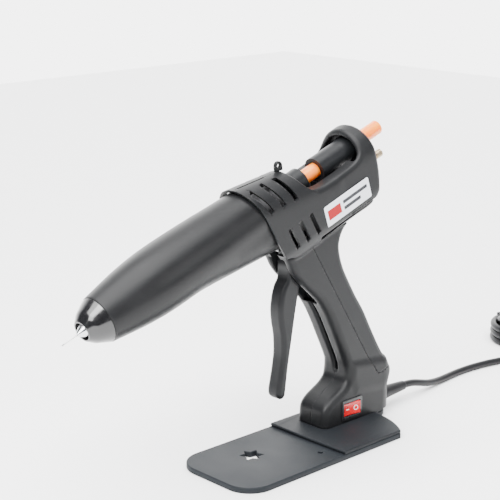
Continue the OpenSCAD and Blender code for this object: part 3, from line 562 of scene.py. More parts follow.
class Outline:
    """Distance to a closed outline of (a, b), kept on a grid and read back with a cubic spline."""

    def __init__(self, points, step=1.0, margin=16.0):
        points = np.array(points, dtype=np.float64)
        self.step = step
        self.low = points.min(axis=0) - margin
        counts = np.ceil((points.max(axis=0) + margin - self.low) / step).astype(int) + 1
        a = self.low[0] + step * np.arange(counts[0])[:, None]
        b = self.low[1] + step * np.arange(counts[1])[None, :]
        nearest = np.full((counts[0], counts[1]), 1e12)
        inside = np.zeros(nearest.shape, dtype=bool)
        for (a0, b0), (a1, b1) in zip(points, np.roll(points, -1, axis=0)):
            da, db = a1 - a0, b1 - b0
            squared = da * da + db * db
            if squared < 1e-12:
                continue
            t = np.clip(((a - a0) * da + (b - b0) * db) / squared, 0, 1)
            nearest = np.minimum(nearest, (a - a0 - t * da) ** 2 + (b - b0 - t * db) ** 2)
            if b0 != b1:
                inside ^= ((b0 > b) != (b1 > b)) & (a < a0 + (b - b0) * da / db)
        self.grid = (np.where(inside, -1.0, 1.0) * np.sqrt(nearest)).astype(np.float32)

    def __call__(self, a, b):
        weights, starts = [], []
        for axis, value in enumerate((a, b)):
            u = np.clip((value - self.low[axis]) / self.step, 1.0, self.grid.shape[axis] - 2.001)
            whole = np.floor(u).astype(np.int32)
            f = (u - whole).astype(np.float32)
            g = 1 - f
            weights.append((g ** 3 / 6, (3 * f ** 3 - 6 * f * f + 4) / 6, (3 * g ** 3 - 6 * g * g + 4) / 6,
                            f ** 3 / 6))
            starts.append(whole - 1)
        result = 0.0
        for i in range(4):
            row = 0.0
            for j in range(4):
                row = row + weights[1][j] * self.grid[starts[0] + i, starts[1] + j]
            result = result + weights[0][i] * row
        return result


def gradient(field, points, reach=0.2):
    """The field's direction of growth at each point, and how fast it grows there."""
    steps = []
    for axis in range(3):
        shift = np.zeros(3, dtype=np.float32)
        shift[axis] = reach
        ahead, behind = points + shift, points - shift
        steps.append(field(*ahead.T) - field(*behind.T))
    normal = np.stack(steps, axis=1)
    length = np.linalg.norm(normal, axis=1, keepdims=True)
    return normal / np.maximum(length, 1e-9), length[:, 0] / (2 * reach)


def solid(name, field, low, high, step):
    """Dual contouring: a mesh of the surface where field(x, y, z) is zero, its sharp edges kept."""
    axes = [np.arange(low[i] - 1.5 * step, high[i] + 2.5 * step, step, dtype=np.float32) for i in range(3)]
    values = np.empty([len(a) for a in axes], dtype=np.float32)
    for i in range(0, len(axes[0]), 32):
        grid = np.meshgrid(axes[0][i:i + 32], axes[1], axes[2], indexing="ij")
        values[i:i + 32] = field(*grid)
    inside = values < 0
    cells = np.array(values.shape) - 1
    all_points, all_cells, all_quads = [], [], []
    for axis in range(3):
        lower = [slice(None)] * 3
        upper = [slice(None)] * 3
        lower[axis], upper[axis] = slice(None, -1), slice(1, None)
        v0, v1 = values[tuple(lower)], values[tuple(upper)]
        crossing = np.nonzero(inside[tuple(lower)] != inside[tuple(upper)])
        t = v0[crossing] / (v0[crossing] - v1[crossing])
        points = np.stack([axes[k][crossing[k]] for k in range(3)], axis=1)
        points[:, axis] += t * step
        index = np.stack(crossing, axis=1)
        b, c = (axis + 1) % 3, (axis + 2) % 3
        around = []
        for db, dc in ((-1, -1), (0, -1), (0, 0), (-1, 0)):
            cell = index.copy()
            cell[:, b] += db
            cell[:, c] += dc
            cell = np.clip(cell, 0, cells - 1)
            around.append((cell[:, 0] * cells[1] + cell[:, 1]) * cells[2] + cell[:, 2])
        around = np.stack(around, axis=1)
        outward = inside[tuple(lower)][crossing]
        all_quads.append(np.where(outward[:, None], around, around[:, ::-1]))
        all_points.append(points)
        all_cells.append(around)
    points = np.concatenate(all_points)
    around = np.concatenate(all_cells)
    normals, slope = gradient(field, points)
    value = field(*points.T)
    points = points - (np.clip(value / np.maximum(slope, 0.3), -0.3 * step, 0.3 * step))[:, None] * normals
    ids, quads = np.unique(np.concatenate(all_quads), return_inverse=True)
    quads = quads.reshape(-1, 4)
    quads = quads[[len(set(q)) == 4 for q in quads.tolist()]]
    place = np.searchsorted(ids, around)
    count = np.bincount(place.ravel(), minlength=len(ids)).astype(np.float64)

    def gather(per_point):
        return np.bincount(place.ravel(), weights=np.repeat(per_point, 4), minlength=len(ids))

    middle = np.stack([gather(points[:, k]) for k in range(3)], axis=1) / count[:, None]
    offset = np.einsum("ij,ij->i", normals, points)
    ata = np.empty((len(ids), 3, 3))
    for i in range(3):
        for j in range(i, 3):
            ata[:, i, j] = ata[:, j, i] = gather(normals[:, i] * normals[:, j])
    atb = np.stack([gather(normals[:, k] * offset) for k in range(3)], axis=1)
    rest = atb - np.einsum("nij,nj->ni", ata, middle)
    ata[:, range(3), range(3)] += 0.08
    move = np.linalg.solve(ata, rest[:, :, None])[:, :, 0]
    reach = np.linalg.norm(move, axis=1, keepdims=True)
    move *= np.minimum(1.0, 0.9 * step / np.maximum(reach, 1e-9))
    vertices = (middle + move).astype(np.float32)
    return surface_mesh(name, vertices, quads, field)


def quad_mesh(name, vertices, quads):
    """A smooth mesh of four-cornered faces, from arrays of vertices in metres and of their numbers."""
    mesh = bpy.data.meshes.new(name)
    mesh.vertices.add(len(vertices))
    mesh.vertices.foreach_set("co", vertices.astype(np.float32).ravel())
    mesh.loops.add(quads.size)
    mesh.loops.foreach_set("vertex_index", np.ascontiguousarray(quads, dtype=np.int32).ravel())
    mesh.polygons.add(len(quads))
    mesh.polygons.foreach_set("loop_start", np.arange(0, quads.size, 4, dtype=np.int32))
    mesh.polygons.foreach_set("use_smooth", np.ones(len(quads), dtype=bool))
    mesh.update(calc_edges=True)
    return mesh


def surface_mesh(name, vertices, quads, field):
    """Makes the mesh; corners take the field's own normal unless a sharp edge passes through them."""
    mesh = quad_mesh(name, vertices * MM, quads)
    smooth, _ = gradient(field, vertices, 0.35)
    corners = vertices[quads]
    flat = np.cross(corners[:, 2] - corners[:, 0], corners[:, 3] - corners[:, 1])
    flat /= np.maximum(np.linalg.norm(flat, axis=1, keepdims=True), 1e-12)
    flat = np.repeat(flat, 4, axis=0)
    loop = smooth[quads.ravel()]
    agree = np.einsum("ij,ij->i", flat, loop) > 0.82
    mesh.normals_split_custom_set(np.where(agree[:, None], loop, flat).tolist())
    return mesh


def mirrored(mesh, name):
    """The same mesh on the other side of the gun's plane."""
    normals = np.empty(len(mesh.loops) * 3, dtype=np.float32)
    mesh.corner_normals.foreach_get("vector", normals)
    points = np.empty(len(mesh.vertices) * 3, dtype=np.float32)
    mesh.vertices.foreach_get("co", points)
    quads = np.empty(len(mesh.loops), dtype=np.int32)
    mesh.loops.foreach_get("vertex_index", quads)
    points = points.reshape(-1, 3) * (1, -1, 1)
    quads = quads.reshape(-1, 4)[:, ::-1]
    normals = normals.reshape(-1, 4, 3)[:, ::-1].reshape(-1, 3) * (1, -1, 1)
    other = quad_mesh(name, points, quads)
    other.normals_split_custom_set(normals.tolist())
    return other


# ---------------------------------------------------------------- casing: the two shells and the grip cover

HANDLE_SCREWS = [(76, 72), (68, 112), (46, 22.5), (128, 42)]
HOUSE_SCREWS = [(42, -51), (168, -18.2)]
SCREW_HOLE_R, SCREW_HEAD_R, BOSS_R = 1.95, 3.7, 4.0
HEAD_Y = 13.0                       # depth of the screw heads' seats, from the gun's plane
WALL = 2.8
GRIP_T = 2.6
SEAM_GAP = 0.22
RIM_E = -4.0                        # height of the open pocket's rim
HOOD_R, HOOD_DROP = 31.0, 8.9       # the rear hood's round top, and how far its centre lies below the axis

# Each vent: station and height of its middle, lean in degrees, half width, half length
VENTS = ([(20.8 + 17.3 * i, 17.2 - 1.7 * i, 18.6 - 4.3 * i, 2.7, 11.9) for i in range(3)]
         + [(42.0 + 15.3 * i, -32.0, 12.0, 2.5, 12.4) for i in range(3)])

HANDLE_FRONT = [(-28, 224), (-25, 214), (-22, 206), (-17, 197), (-12, 188), (-4, 178.5), (11, 164.5),
                (26, 150.5), (37, 136), (47, 118), (55, 102), (63, 86), (68.5, 74), (72, 63), (75, 50),
                (80, 38)]
HANDLE_BACK = [(128, 33), (136, 42), (140.5, 53), (134, 63.5), (121, 83), (108, 105), (95, 128), (82, 147),
               (70.3, 166), (60, 184), (54.5, 199), (54.5, 210), (60, 221), (72, 230), (90, 238)]
FOOT_FRONT = [(34, 0), (34, 10), (34, 20), (34.8, 28), (38.5, 34), (45, 39), (54, 43.6), (63, 48.5), (69, 54.5),
              (72.5, 62), (76, 74)]
FOOT_BACK = [(132, 68), (139.5, 54), (143.2, 44), (144.3, 32), (143.4, 18), (142.4, 8), (142, 0)]

handle_outline = Outline(through(HANDLE_FRONT) + through(HANDLE_BACK))
foot_outline = Outline(through(FOOT_FRONT) + through(FOOT_BACK))
house_outline = Outline(
    rounded([(5, -40, 0), (16, -45.5, 3), (32, -49, 4), (38, -52.5, 6), (46, -58.5, 6), (118, -58.5, 10),
             (151, -61, 6), (159, -60, 4), (165, -55.5, 6), (169.5, -49, 8), (172.5, -40, 8), (175, -27, 8),
             (176, -15, 10), (176, 45, 0)], 8)
    + rounded([(158, 45, 0), (158, 6, 20), (147, RIM_E, 20), (92, RIM_E, 14), (77.5, 2, 9), (71.8, 14, 10),
               (64.6, 45, 0), (-15, 45, 0), (-15, -20, 0), (5, -40, 0)], 8))


def house_section(s, y, e, shrink=0.0):
    """The housing's section: round top whose centre falls towards the rear, flat sides, chamfered bottom."""
    side = y - (HOUSE_HW - shrink)
    chamfer = (12 * (y - HOUSE_HW) - 9 * (e + 49)) / 15 + shrink
    low = both(side, chamfer, 5.0)
    hood = smooth_step(s, 110, 125)
    centre = (10 - s) * math.tan(LEAN) * (1 - hood) - HOOD_DROP * hood
    top = COLLAR_R - (COLLAR_R - HOOD_R) * hood
    return both(low, np.hypot(y, np.maximum(e - centre, 0)) - (top - shrink), 3.0)


def smooth_step(value, start, end):
    t = np.clip((value - start) / (end - start), 0, 1)
    return t * t * (3 - 2 * t)


def front_plane(s, e):
    """Distance ahead of the collar's slanted front edge."""
    return -((s - EDGE_S) * math.cos(SLANT) + e * math.sin(SLANT))


def gun_outside(x, y, z):
    """The whole casing without its hollows, openings and seams, for y above 0."""
    s, e = to_barrel(x, z)
    edge = 0.9 + 4.1 * smooth_step(s, 80, 88)
    side_view = house_outline(s, e)
    house = both(side_view, house_section(s, y, e), edge)
    house = both(house, front_plane(s, e), 0.7)
    edge = 8.5 - 2.0 * smooth_step(z, 170, 200)
    handle = both(handle_outline(x, z), y - HANDLE_HW, edge)
    plan = np.where(x > EXIT_X - FOOT_HW, np.hypot(np.maximum(x - (EXIT_X - FOOT_HW), 0), y), y) - FOOT_HW
    foot = both(foot_outline(x, z), plan, 8.0)
    return either(either(handle, foot, 6.0), house, 5.0)


def seam_side(x, z):
    """Distance ahead of the grip cover's seam on the handle's side; below zero is behind the seam."""
    (x0, z0), (x1, z1) = (13.0, 209.4), (109.6, 59.8)
    length = math.hypot(x1 - x0, z1 - z0)
    ahead = ((x - x0) * (z1 - z0) - (z - z0) * (x1 - x0)) / length
    (x2, z2), (x3, z3) = (110.0, 50.6), (127.0, 56.6)
    length = math.hypot(x3 - x2, z3 - z2)
    below = ((x - x2) * (z3 - z2) - (z - z2) * (x3 - x2)) / length
    _, e = to_barrel(x, z)
    return both(both(ahead, below, 6.0), e + 58.9, 1.5)


def gun_hollow(x, y, z):
    """The room inside the shells, for y above 0."""
    s, e = to_barrel(x, z)
    section = house_section(s, y, e, WALL)
    collar = both(both(section, -52.6 - e, 1.0), s - np.minimum(75.0, 71.9 - 0.231 * e), 1.0)
    collar = both(collar, -(s + 30), 1.0)
    feed = block((np.abs(s - 125.6) - 47.6, y - 27.7, np.abs(e + 35.8) - 19.8), 2.5)
    trough = block((np.abs(s - 118) - 40.0, y - 16.3, np.abs(e - 10) - 30.0), 2.0)
    grip = handle_outline(x, z) + 11.5
    grip = both(grip, y - 14.6, 3.0)
    grip = both(grip, z - 224, 1.0)
    foot = both(both(foot_outline(x, z) + 3.2, y - 18.0, 3.0), 12.0 - z, 1.0)
    foot = both(foot, z - 60, 1.0)
    foot = both(foot, np.hypot(np.maximum(x - 123, 0), y) - 18.0, 1.0)
    return np.minimum(np.minimum(np.minimum(collar, feed), trough), np.minimum(grip, foot))


def slots(s, y, e):
    """The vents: three slanted slots above, three below, and the long thin one along the crest."""
    result = np.full(s.shape, 1e3, dtype=np.float32)
    for place, height, lean, half, length in VENTS:
        c, d = math.cos(math.radians(lean)), math.sin(math.radians(lean))
        ds, de = s - place, e - height
        across, along = c * ds + d * de, c * de - d * ds
        result = np.minimum(result, both(np.abs(across) - half, np.abs(along) - length, 1.0))
    result = both(result, 8.0 - y, 0.5)
    crest = block((np.abs(s - 31.5) - 17.5, y - 0.9, 24.0 - e), 0.4)
    return np.minimum(result, crest)


def shell_screws(x, z, radius):
    """Distance to the nearest of the columns round the shells' screws, which run across the gun."""
    s, e = to_barrel(x, z)
    columns = [np.hypot(x - px, z - pz) for px, pz in HANDLE_SCREWS]
    columns += [np.hypot(s - ps, e - pe) for ps, pe in HOUSE_SCREWS]
    return np.minimum.reduce(columns) - radius


def stand_screws(x, y, radius):
    """Distance to the nearest of the columns round the stand's screws, which come up into the foot."""
    return np.minimum.reduce([np.hypot(x - px, y - STAND_SCREW_Y) for px in STAND_SCREW_X]) - radius


# The opening in the handle's front that the trigger swings in
mouth_outline = Outline(rounded([(-60, 196, 0), (-16, 201, 4), (-9, 212, 4), (34, 214, 4), (36, 170, 8),
                                 (38, 148, 6), (16, 145, 6), (-60, 165, 0)], 6))


def shell_field(x, y, z):
    """One half of the casing, as the shell on the side where y is above 0."""
    y_in = y
    y = np.abs(y)
    s, e = to_barrel(x, z)
    outside = gun_outside(x, y, z)
    seam = seam_side(x, z)
    cover = both(seam - SEAM_GAP, -(outside + GRIP_T + 0.1), 0.3)
    body = less(outside, cover, 0.35)
    body = less(body, gun_hollow(x, y, z), 0.4)
    bosses = np.minimum(shell_screws(x, z, BOSS_R), both(stand_screws(x, y, BOSS_R), z - 18.8, 0.1))
    body = np.minimum(body, np.maximum(bosses, outside + 1.5))
    body = less(body, slots(s, y, e), 0.35)
    mouth = both(mouth_outline(x, z), y - 10.0, 1.0)
    body = less(body, mouth, 2.0)
    groove = both(y - 1.9, -(handle_outline(x, z) + 13.0), 0.5)
    groove = both(groove, np.abs(z - 108) - 45.0, 2.0)
    body = less(body, groove, 3.6)
    arm_room = block((y - 6.0, np.abs(s - 64) - 28.0, np.abs(e + 44) - 26.0), 0.5)
    bulkhead = block((y - 10.0, np.abs(s - 76.5) - 4.0, np.abs(e + 36) - 18.2), 0.5)
    tube = both(np.hypot(y, e) - 13.1, 150 - s, 0.3)
    sleeve = both(np.hypot(y, e) - 13.9, np.abs(s - 76) - 13, 0.3)
    recess = both(np.hypot(y, e + HOOD_DROP) - 25.2, np.abs(s - 155) - 8.0, 1.6)
    adjuster = both(np.hypot(y, e + 28) - 2.9, 150 - s, 0.3)
    rod_holes = both(np.hypot(y - 15, e + 26) - 2.52, np.abs(s - 125.3) - 49.2, 0.1)
    for cutter, radius in ((arm_room, 0.5), (bulkhead, 0.5), (tube, 0.6), (sleeve, 0.3), (recess, 2.0),
                           (adjuster, 0.4), (rod_holes, 0.1)):
        body = less(body, cutter, radius)
    pin = both(np.hypot(s - PIVOT_S, e - PIVOT_E) - PIVOT_BORE, y - 18.35, 0.1)
    body = less(body, pin, 0.1)
    neck = both(np.hypot(y, z - EXIT_Z) - 5.5, 130 - x, 0.1)
    flange = both(np.hypot(y, z - EXIT_Z) - 6.1, np.abs(x - 138.2) - 1.7, 0.1)
    body = less(less(body, neck, 0.5), flange, 0.1)
    body = both(body, PAD_TOP + 0.02 - z, 0.6)
    body = less(body, both(shell_screws(x, z, SCREW_HOLE_R), y - HEAD_Y, 0.1), 0.1)
    body = less(body, both(stand_screws(x, y, SCREW_HOLE_R), z - 17.8, 0.1), 0.1)
    return both(body, 0.05 - y_in, 0.45)


def left_field(x, y, z):
    """The left shell, mirrored to y above 0, with its opening for the switch."""
    body = shell_field(x, y, z)
    opening = block((np.abs(x - SWITCH_X) - 13.7, np.abs(z - SWITCH_Z) - 10.1, 17.0 - y), 0.4)
    return less(body, opening, 0.3)


def grip_cover_field(x, y, z):
    """The skin over the handle's back, behind the seam."""
    outside = gun_outside(x, np.abs(y), z)
    cover = both(outside, seam_side(x, z) + SEAM_GAP, 0.45)
    return less(cover, outside + GRIP_T, 0.3)


def right_field(x, y, z):
    """The right shell, with the pockets for the screws' heads."""
    return less(shell_field(x, y, z), both(shell_screws(x, z, SCREW_HEAD_R), HEAD_Y - y, 0.1), 0.3)


def make_casing():
    low, high = (-82.0, 0.0, PAD_TOP - 0.5), (181.0, 31.5, 335.0)
    finish_piece(solid("right_shell", right_field, low, high, 1.3), "casing_right", "shell_plastic", "root",
                 ("right_shell",))
    left = solid("left_shell", left_field, low, high, 1.3)
    finish_piece(mirrored(left, "casing_left"), "casing_left", "shell_plastic", "root", ("left_shell",))
    bpy.data.meshes.remove(left)
    cover = solid("grip_cover", grip_cover_field, (4.0, -26.5, 44.0), (148.0, 26.5, 224.0), 1.3)
    finish_piece(cover, "grip_cover_skin", "grip_plastic", "root", ("grip_cover",))


make_casing()


# ---------------------------------------------------------------- trigger and suspension eye

TRIGGER_SIDE = [(-10, 194), (-9.5, 186), (-11, 178.5), (-16, 171.5), (-19.3, 161), (-21, 147.6), (-19.6, 134),
                (-16.8, 120), (-16, 103), (-17.5, 90), (-20.5, 74), (-22.8, 62), (-21.5, 56.5), (-17, 53.5),
                (-12.5, 56), (-11, 62), (-7.8, 86), (-4, 108), (0, 131), (3, 148), (6, 162), (12, 184),
                (14, 198), (5, 206), (-6, 203)]


trigger_outline = Outline(through(TRIGGER_SIDE, 5, closed=True))


def trigger_field(x, y, z):
    """The lever, its hub round the pivot, and the arm that runs up to the drive pin."""
    s, e = to_barrel(x, z)
    y = np.abs(y)
    edge = 4.6 - 2.2 * smooth_step(z, 168, 190)
    lever = both(trigger_outline(x, z), y - 9.0, edge)
    hub = both(np.hypot(s - PIVOT_S, e - PIVOT_E) - 10.0, y - 9.0, 1.0)
    along_s, along_e = ARM_S - PIVOT_S, ARM_E - PIVOT_E
    length = math.hypot(along_s, along_e)
    t = np.clip(((s - PIVOT_S) * along_s + (e - PIVOT_E) * along_e) / length ** 2, 0, 1)
    arm = np.hypot(s - PIVOT_S - t * along_s, e - PIVOT_E - t * along_e) - (7.0 - 3.0 * t)
    arm = both(arm, y - 4.0, 0.8)
    body = either(either(lever, hub, 3.0), arm, 1.5)
    body = less(body, np.hypot(s - PIVOT_S, e - PIVOT_E) - PIVOT_BORE, 0.2)
    return less(body, np.hypot(s - ARM_S, e - ARM_E) - 2.02, 0.1)


def eye_field(x, y, z):
    """The hanging eye, square to the collar's leaning crest and seated on it."""
    s, e = to_barrel(x, z)
    a = (s - 10) * math.cos(LEAN) - e * math.sin(LEAN) - 54.4
    b = (s - 10) * math.sin(LEAN) + e * math.cos(LEAN)
    ring = both(np.hypot(a, b - 38) - 4.6, np.abs(y) - 2.0, 0.9)
    foot = block((np.abs(a) - 4.6, np.abs(y) - 2.0, b - 37.0), 0.9)
    body = less(either(ring, foot, 1.0), np.hypot(a, b - 38) - 2.3, 0.9)
    return less(body, np.hypot(y, b) - (COLLAR_R + 0.02), 0.1)


def make_trigger_and_eye():
    finish_piece(solid("trigger", trigger_field, (-25.0, -9.5, 52.0), (22.0, 9.5, 246.0), 1.0), "trigger_lever",
                 "trigger_plastic", "trigger", ("trigger",))
    finish_piece(solid("eye", eye_field, (-28.0, -2.5, 284.0), (-8.0, 2.5, 302.0), 0.45), "hanging_eye",
                 "shell_plastic", "root", ("suspension_eye",))


make_trigger_and_eye()


# ---------------------------------------------------------------- barrel cover, boot, nozzle

COVER_PROFILE = [(-176, 23.0), (-156, 26.3), (-136, 29.2), (-112, 31.3), (-84, 31.8), (-45, 31.0), (-5, 29.3),
                 (50, 28.0)]


COVER_LINE = through(COVER_PROFILE, 10)


def cover_radius(s):
    """Radius of the cover's round bullet at a station."""
    for (s0, r0), (s1, r1) in zip(COVER_LINE, COVER_LINE[1:]):
        if s <= s1:
            return r0 + (r1 - r0) * (s - s0) / (s1 - s0)
    return COVER_LINE[-1][1]


def cover_point(s, angle, inset):
    """A point of the cover: a round bullet, with a keel that grows out below it towards the rear."""
    y, e = math.sin(angle), math.cos(angle)
    bullet = cover_radius(s) - inset
    drop = 13.9 + 0.13 * s
    keel = min(27.7, 26 + 1.7 * (s + 90) / 30) - inset
    inside = keel * keel - (drop * y) ** 2
    reach = -drop * e + math.sqrt(inside) if inside > 0 else 0.0
    blend = 3.0
    gap = max(0.0, blend - abs(bullet - reach))
    radius = max(bullet, reach) + gap * gap / (4 * blend)
    if s < -70:
        part = smooth_step(np.float64(s), -100.0, -70.0)
        radius = bullet + (radius - bullet) * float(part)
    return radius * y, radius * e


def make_barrel_cover():
    """The cover, outside and inside, lofted through rows; its rear end follows the collar's slant."""
    turns = 128
    stations = [-176, -175.6, -175, -173, -170] + [-165 + 5 * i for i in range(28)] + [-27.5, -24]
    rows = []
    for inset, order in ((0.0, 1), (2.5, -1)):
        side = []
        for s in stations:
            trim = {-176: 0.6, -175.6: 0.15}.get(s, 0.0) if inset == 0 else 0.0
            side.append([(s, *cover_point(s, 2 * math.pi * k / turns, inset + trim)) for k in range(turns)])
        for behind in (-16, -8, -2, -0.6, -0.3, 2, 3.8, 4):
            row = []
            for k in range(turns):
                angle = 2 * math.pi * k / turns
                y, e = cover_point(15.0, angle, inset)
                s = EDGE_S + behind - e * math.tan(SLANT)
                y, e = cover_point(s, angle, inset)
                if behind > -0.4:
                    y = max(-27.2 + inset, min(27.2 - inset, y))
                    e = max(-53.0 + inset, min(28.6 - inset, e))
                row.append((s, y, e))
            side.append(row)
        rows += side[::order]
    points = [from_barrel(*p) for row in rows for p in row]
    faces = []
    count = len(rows)
    for i in range(count):
        j = (i + 1) % count
        for k in range(turns):
            n = (k + 1) % turns
            faces.append((i * turns + k, j * turns + k, j * turns + n, i * turns + n))
    mesh = mesh_from(points, faces, "barrel_cover", 45)
    finish_piece(mesh, "barrel_skin", "barrel_plastic", "root", ("barrel_cover",))


def make_nozzle():
    """The boot, the nozzle with its hexagon and spigot, its needle, and the glue stick behind them."""
    boot = rounded([(-168.2, 20.2, 0), (-168.2, 20.25, 0), (-175.8, 20.25, 0.2), (-176.35, 20.6, 0.2),
                    (-176.35, 22.75, 0.5), (-189.2, 16.25, 2.5), (-195.9, 10.3, 0.6), (-195.9, 8.7, 0.5),
                    (-188.2, 8.95, 1.0), (-176.8, 14.0, 2.0), (-168.2, 17.0, 0.3), (-168.2, 20.2, 0)], 6)
    finish_piece(lathe("nozzle_boot", boot, from_barrel, 96, ring=True), "boot", "boot_gloss", "root",
                 ("nozzle_boot",))
    bm = bmesh.new()
    cone = rounded([(-201.3, 0.8, 0), (-201.5, 1.0, 0.1), (-201.5, 1.9, 0.5), (-192.6, 7.6, 0.6),
                    (-191.7, 7.2, 0.3), (-191.2, 6.0, 0.0), (-191.2, 0.8, 0.0)])
    take_in(bm, lathe("cone", cone, from_barrel, 64, ring=True))
    prism(bm, circle_points(8.0, 6), lambda a, b, d: from_barrel(d, a, b), -191.6, -168.4, 0.6)
    spigot = [(-168.5, 1.4), (-168.5, 4.9), (-159.0, 4.9), (-159.0, 1.4)]
    take_in(bm, lathe("spigot", spigot, from_barrel, 40, ring=True))
    finish_piece(bm_mesh(bm, "nozzle"), "nozzle_tip", "nozzle_steel", "root", ("nozzle",))
    needle = rounded([(-219.5, 0.42, 0), (-219.5, 1.15, 0.25), (-218.6, 1.3, 0.2), (-217.9, 1.0, 0.3),
                      (-217.4, 0.75, 0.2), (-200.6, 0.75, 0.6), (-199.4, 1.6, 0.2), (-199.2, 0.42, 0.0)])
    finish_piece(lathe("needle", needle, from_barrel, 28, ring=True), "needle", "nozzle_steel", "root",
                 ("nozzle_needle",))
    stick = rounded([(-5.0, 0.0, 0), (-5.0, STICK_R, 0.8), (212.0, STICK_R, 0.7), (212.0, 0.0, 0)])
    finish_piece(lathe("glue_stick", stick, from_barrel, 72), "stick", "glue_amber", "stick", ("glue_stick",))


make_barrel_cover()
make_nozzle()


# ---------------------------------------------------------------- switch, label, stand

def bezel_field(x, y, z):
    """The switch's frame: a rim outside the foot, a body in its opening, and room for the rocker."""
    a, b = np.abs(x - SWITCH_X), np.abs(z - SWITCH_Z)
    rim = block((both(a - 15.25, b - 11.15, 1.6), y + 21.02, -22.2 - y), 0.55)
    body = block((a - 13.4, b - 9.8, y + 6.1, -22.0 - y), 0.4)
    hollow = block((both(a - 12.6, b - 7.3, 0.8), y + 10.0), 0.4)
    return less(np.minimum(rim, body), hollow, 0.35)


ROCKER_HL = 11.7
ROCKER_TILT = math.radians(-6)
ROCKER_Y = -16.2
C_ROCK, S_ROCK = math.cos(ROCKER_TILT), math.sin(ROCKER_TILT)


def rocker_front(across):
    """Depth of the rocker's dished front at a place across it, before it is tilted."""
    return -5.2 - 1.3 * (across / ROCKER_HL) ** 2


rocker_outline = Outline([(ROCKER_HL * k / 12, rocker_front(ROCKER_HL * k / 12)) for k in range(-12, 13)]
                         + [(ROCKER_HL, 1.0), (0.0, 3.5), (-ROCKER_HL, 1.0)], 0.5, 6.0)

def rocker_place(a, b, z):
    """A place on the tilted rocker, given in the stand's frame."""
    return SWITCH_X + C_ROCK * a - S_ROCK * b, ROCKER_Y + S_ROCK * a + C_ROCK * b, SWITCH_Z + z


def rocker_field(x, y, z):
    dx, dy = x - SWITCH_X, y - ROCKER_Y
    a, b = C_ROCK * dx + S_ROCK * dy, C_ROCK * dy - S_ROCK * dx
    body = both(rocker_outline(a, b), np.abs(z - SWITCH_Z) - 7.0, 0.7)
    axle = both(np.hypot(a, b) - 1.2, np.abs(z - SWITCH_Z) - 8.5, 0.2)
    return np.minimum(body, axle)


def rocker_marks():
    """A dash and a ring, laid on the rocker's dished front."""
    bm = bmesh.new()
    dash = rounded([(-7.9, -0.5, 0), (-3.5, -0.5, 0.3), (-3.5, 0.5, 0.3), (-7.9, 0.5, 0.3), (-7.9, -0.5, 0)], 2)
    ring_outer, ring_inner = (circle_points(r, 40, (5.8, 0.0)) for r in (2.9, 2.1))

    def laid(points, sink):
        return [bm.verts.new(Vector(rocker_place(a, rocker_front(a) + sink, z)) * MM) for a, z in points]

    for outer, inner in ((dash[:-1], None), (ring_outer, ring_inner)):
        front, back = laid(outer, -0.05), laid(outer, 0.2)
        around = [(k, (k + 1) % len(outer)) for k in range(len(outer))]
        if inner is None:
            bm.faces.new(front)
        else:
            hole = laid(inner, -0.05)
            for k, n in around:
                bm.faces.new((front[k], front[n], hole[n], hole[k]))
        for k, n in around:
            bm.faces.new((front[k], back[k], back[n], front[n]))
    return bm_mesh(bm, "rocker_marks")


def make_switch():
    bezel = solid("bezel", bezel_field, (SWITCH_X - 16, -22.6, SWITCH_Z - 12),
                  (SWITCH_X + 16, -5.5, SWITCH_Z + 12), 0.6)
    finish_piece(bezel, "switch_frame", "bezel_black", "root", ("switch_bezel",))
    rocker = solid("rocker", rocker_field, (SWITCH_X - 12.6, -24.5, SWITCH_Z - 9),
                   (SWITCH_X + 12.6, -11.5, SWITCH_Z + 9), 0.5)
    finish_piece(rocker, "rocker", "rocker_red", "rocker", ("switch_rocker",))
    finish_piece(rocker_marks(), "rocker_marks", "symbol_white", "rocker", ())


def plate_mesh(name, outline, holes, depth0, depth1, bevel):
    """A flat plate from a 2-D outline with holes, every edge rounded, lying in X and Y."""
    data = bpy.data.curves.new(name, "CURVE")
    data.dimensions = "2D"
    data.fill_mode = "BOTH"
    for points in [outline] + [hole[::-1] for hole in holes]:
        spline = data.splines.new("POLY")
        spline.points.add(len(points) - 1)
        for target, (x, y) in zip(spline.points, points):
            target.co = (x * MM, y * MM, 0.0, 1.0)
        spline.use_cyclic_u = True
    data.extrude = ((depth1 - depth0) / 2 - bevel) * MM
    data.bevel_depth = bevel * MM
    data.bevel_resolution = 2
    data.offset = -bevel * MM
    holder = bpy.data.objects.new(name + "_curve", data)
    bpy.context.collection.objects.link(holder)
    bpy.context.view_layer.update()
    mesh = bpy.data.meshes.new_from_object(holder.evaluated_get(bpy.context.evaluated_depsgraph_get()))
    bpy.data.objects.remove(holder)
    bpy.data.curves.remove(data)
    mesh.name = name
    mesh.transform(Matrix.Translation((0, 0, (depth0 + depth1) / 2 * MM)))
    mesh.materials.clear()
    bm = bmesh.new()
    bm.from_mesh(mesh)
    bmesh.ops.remove_doubles(bm, verts=bm.verts[:], dist=0.00001)
    bm.to_mesh(mesh)
    bm.free()
    mesh.polygons.foreach_set("use_smooth", [True] * len(mesh.polygons))
    mesh.set_sharp_from_angle(angle=math.radians(35))
    normals = [tuple(corner.vector) for corner in mesh.corner_normals]
    for face in mesh.polygons:
        if abs(face.normal.z) > 0.97:
            for k in face.loop_indices:
                normals[k] = (0.0, 0.0, math.copysign(1.0, face.normal.z))
    mesh.normals_split_custom_set(normals)
    return mesh


def arc(centre, radius, start, end, count):
    """Points along an arc, from one angle to another in degrees."""
    return [(centre[0] + radius * math.cos(math.radians(start + (end - start) * k / count)),
             centre[1] + radius * math.sin(math.radians(start + (end - start) * k / count)))
            for k in range(count + 1)]


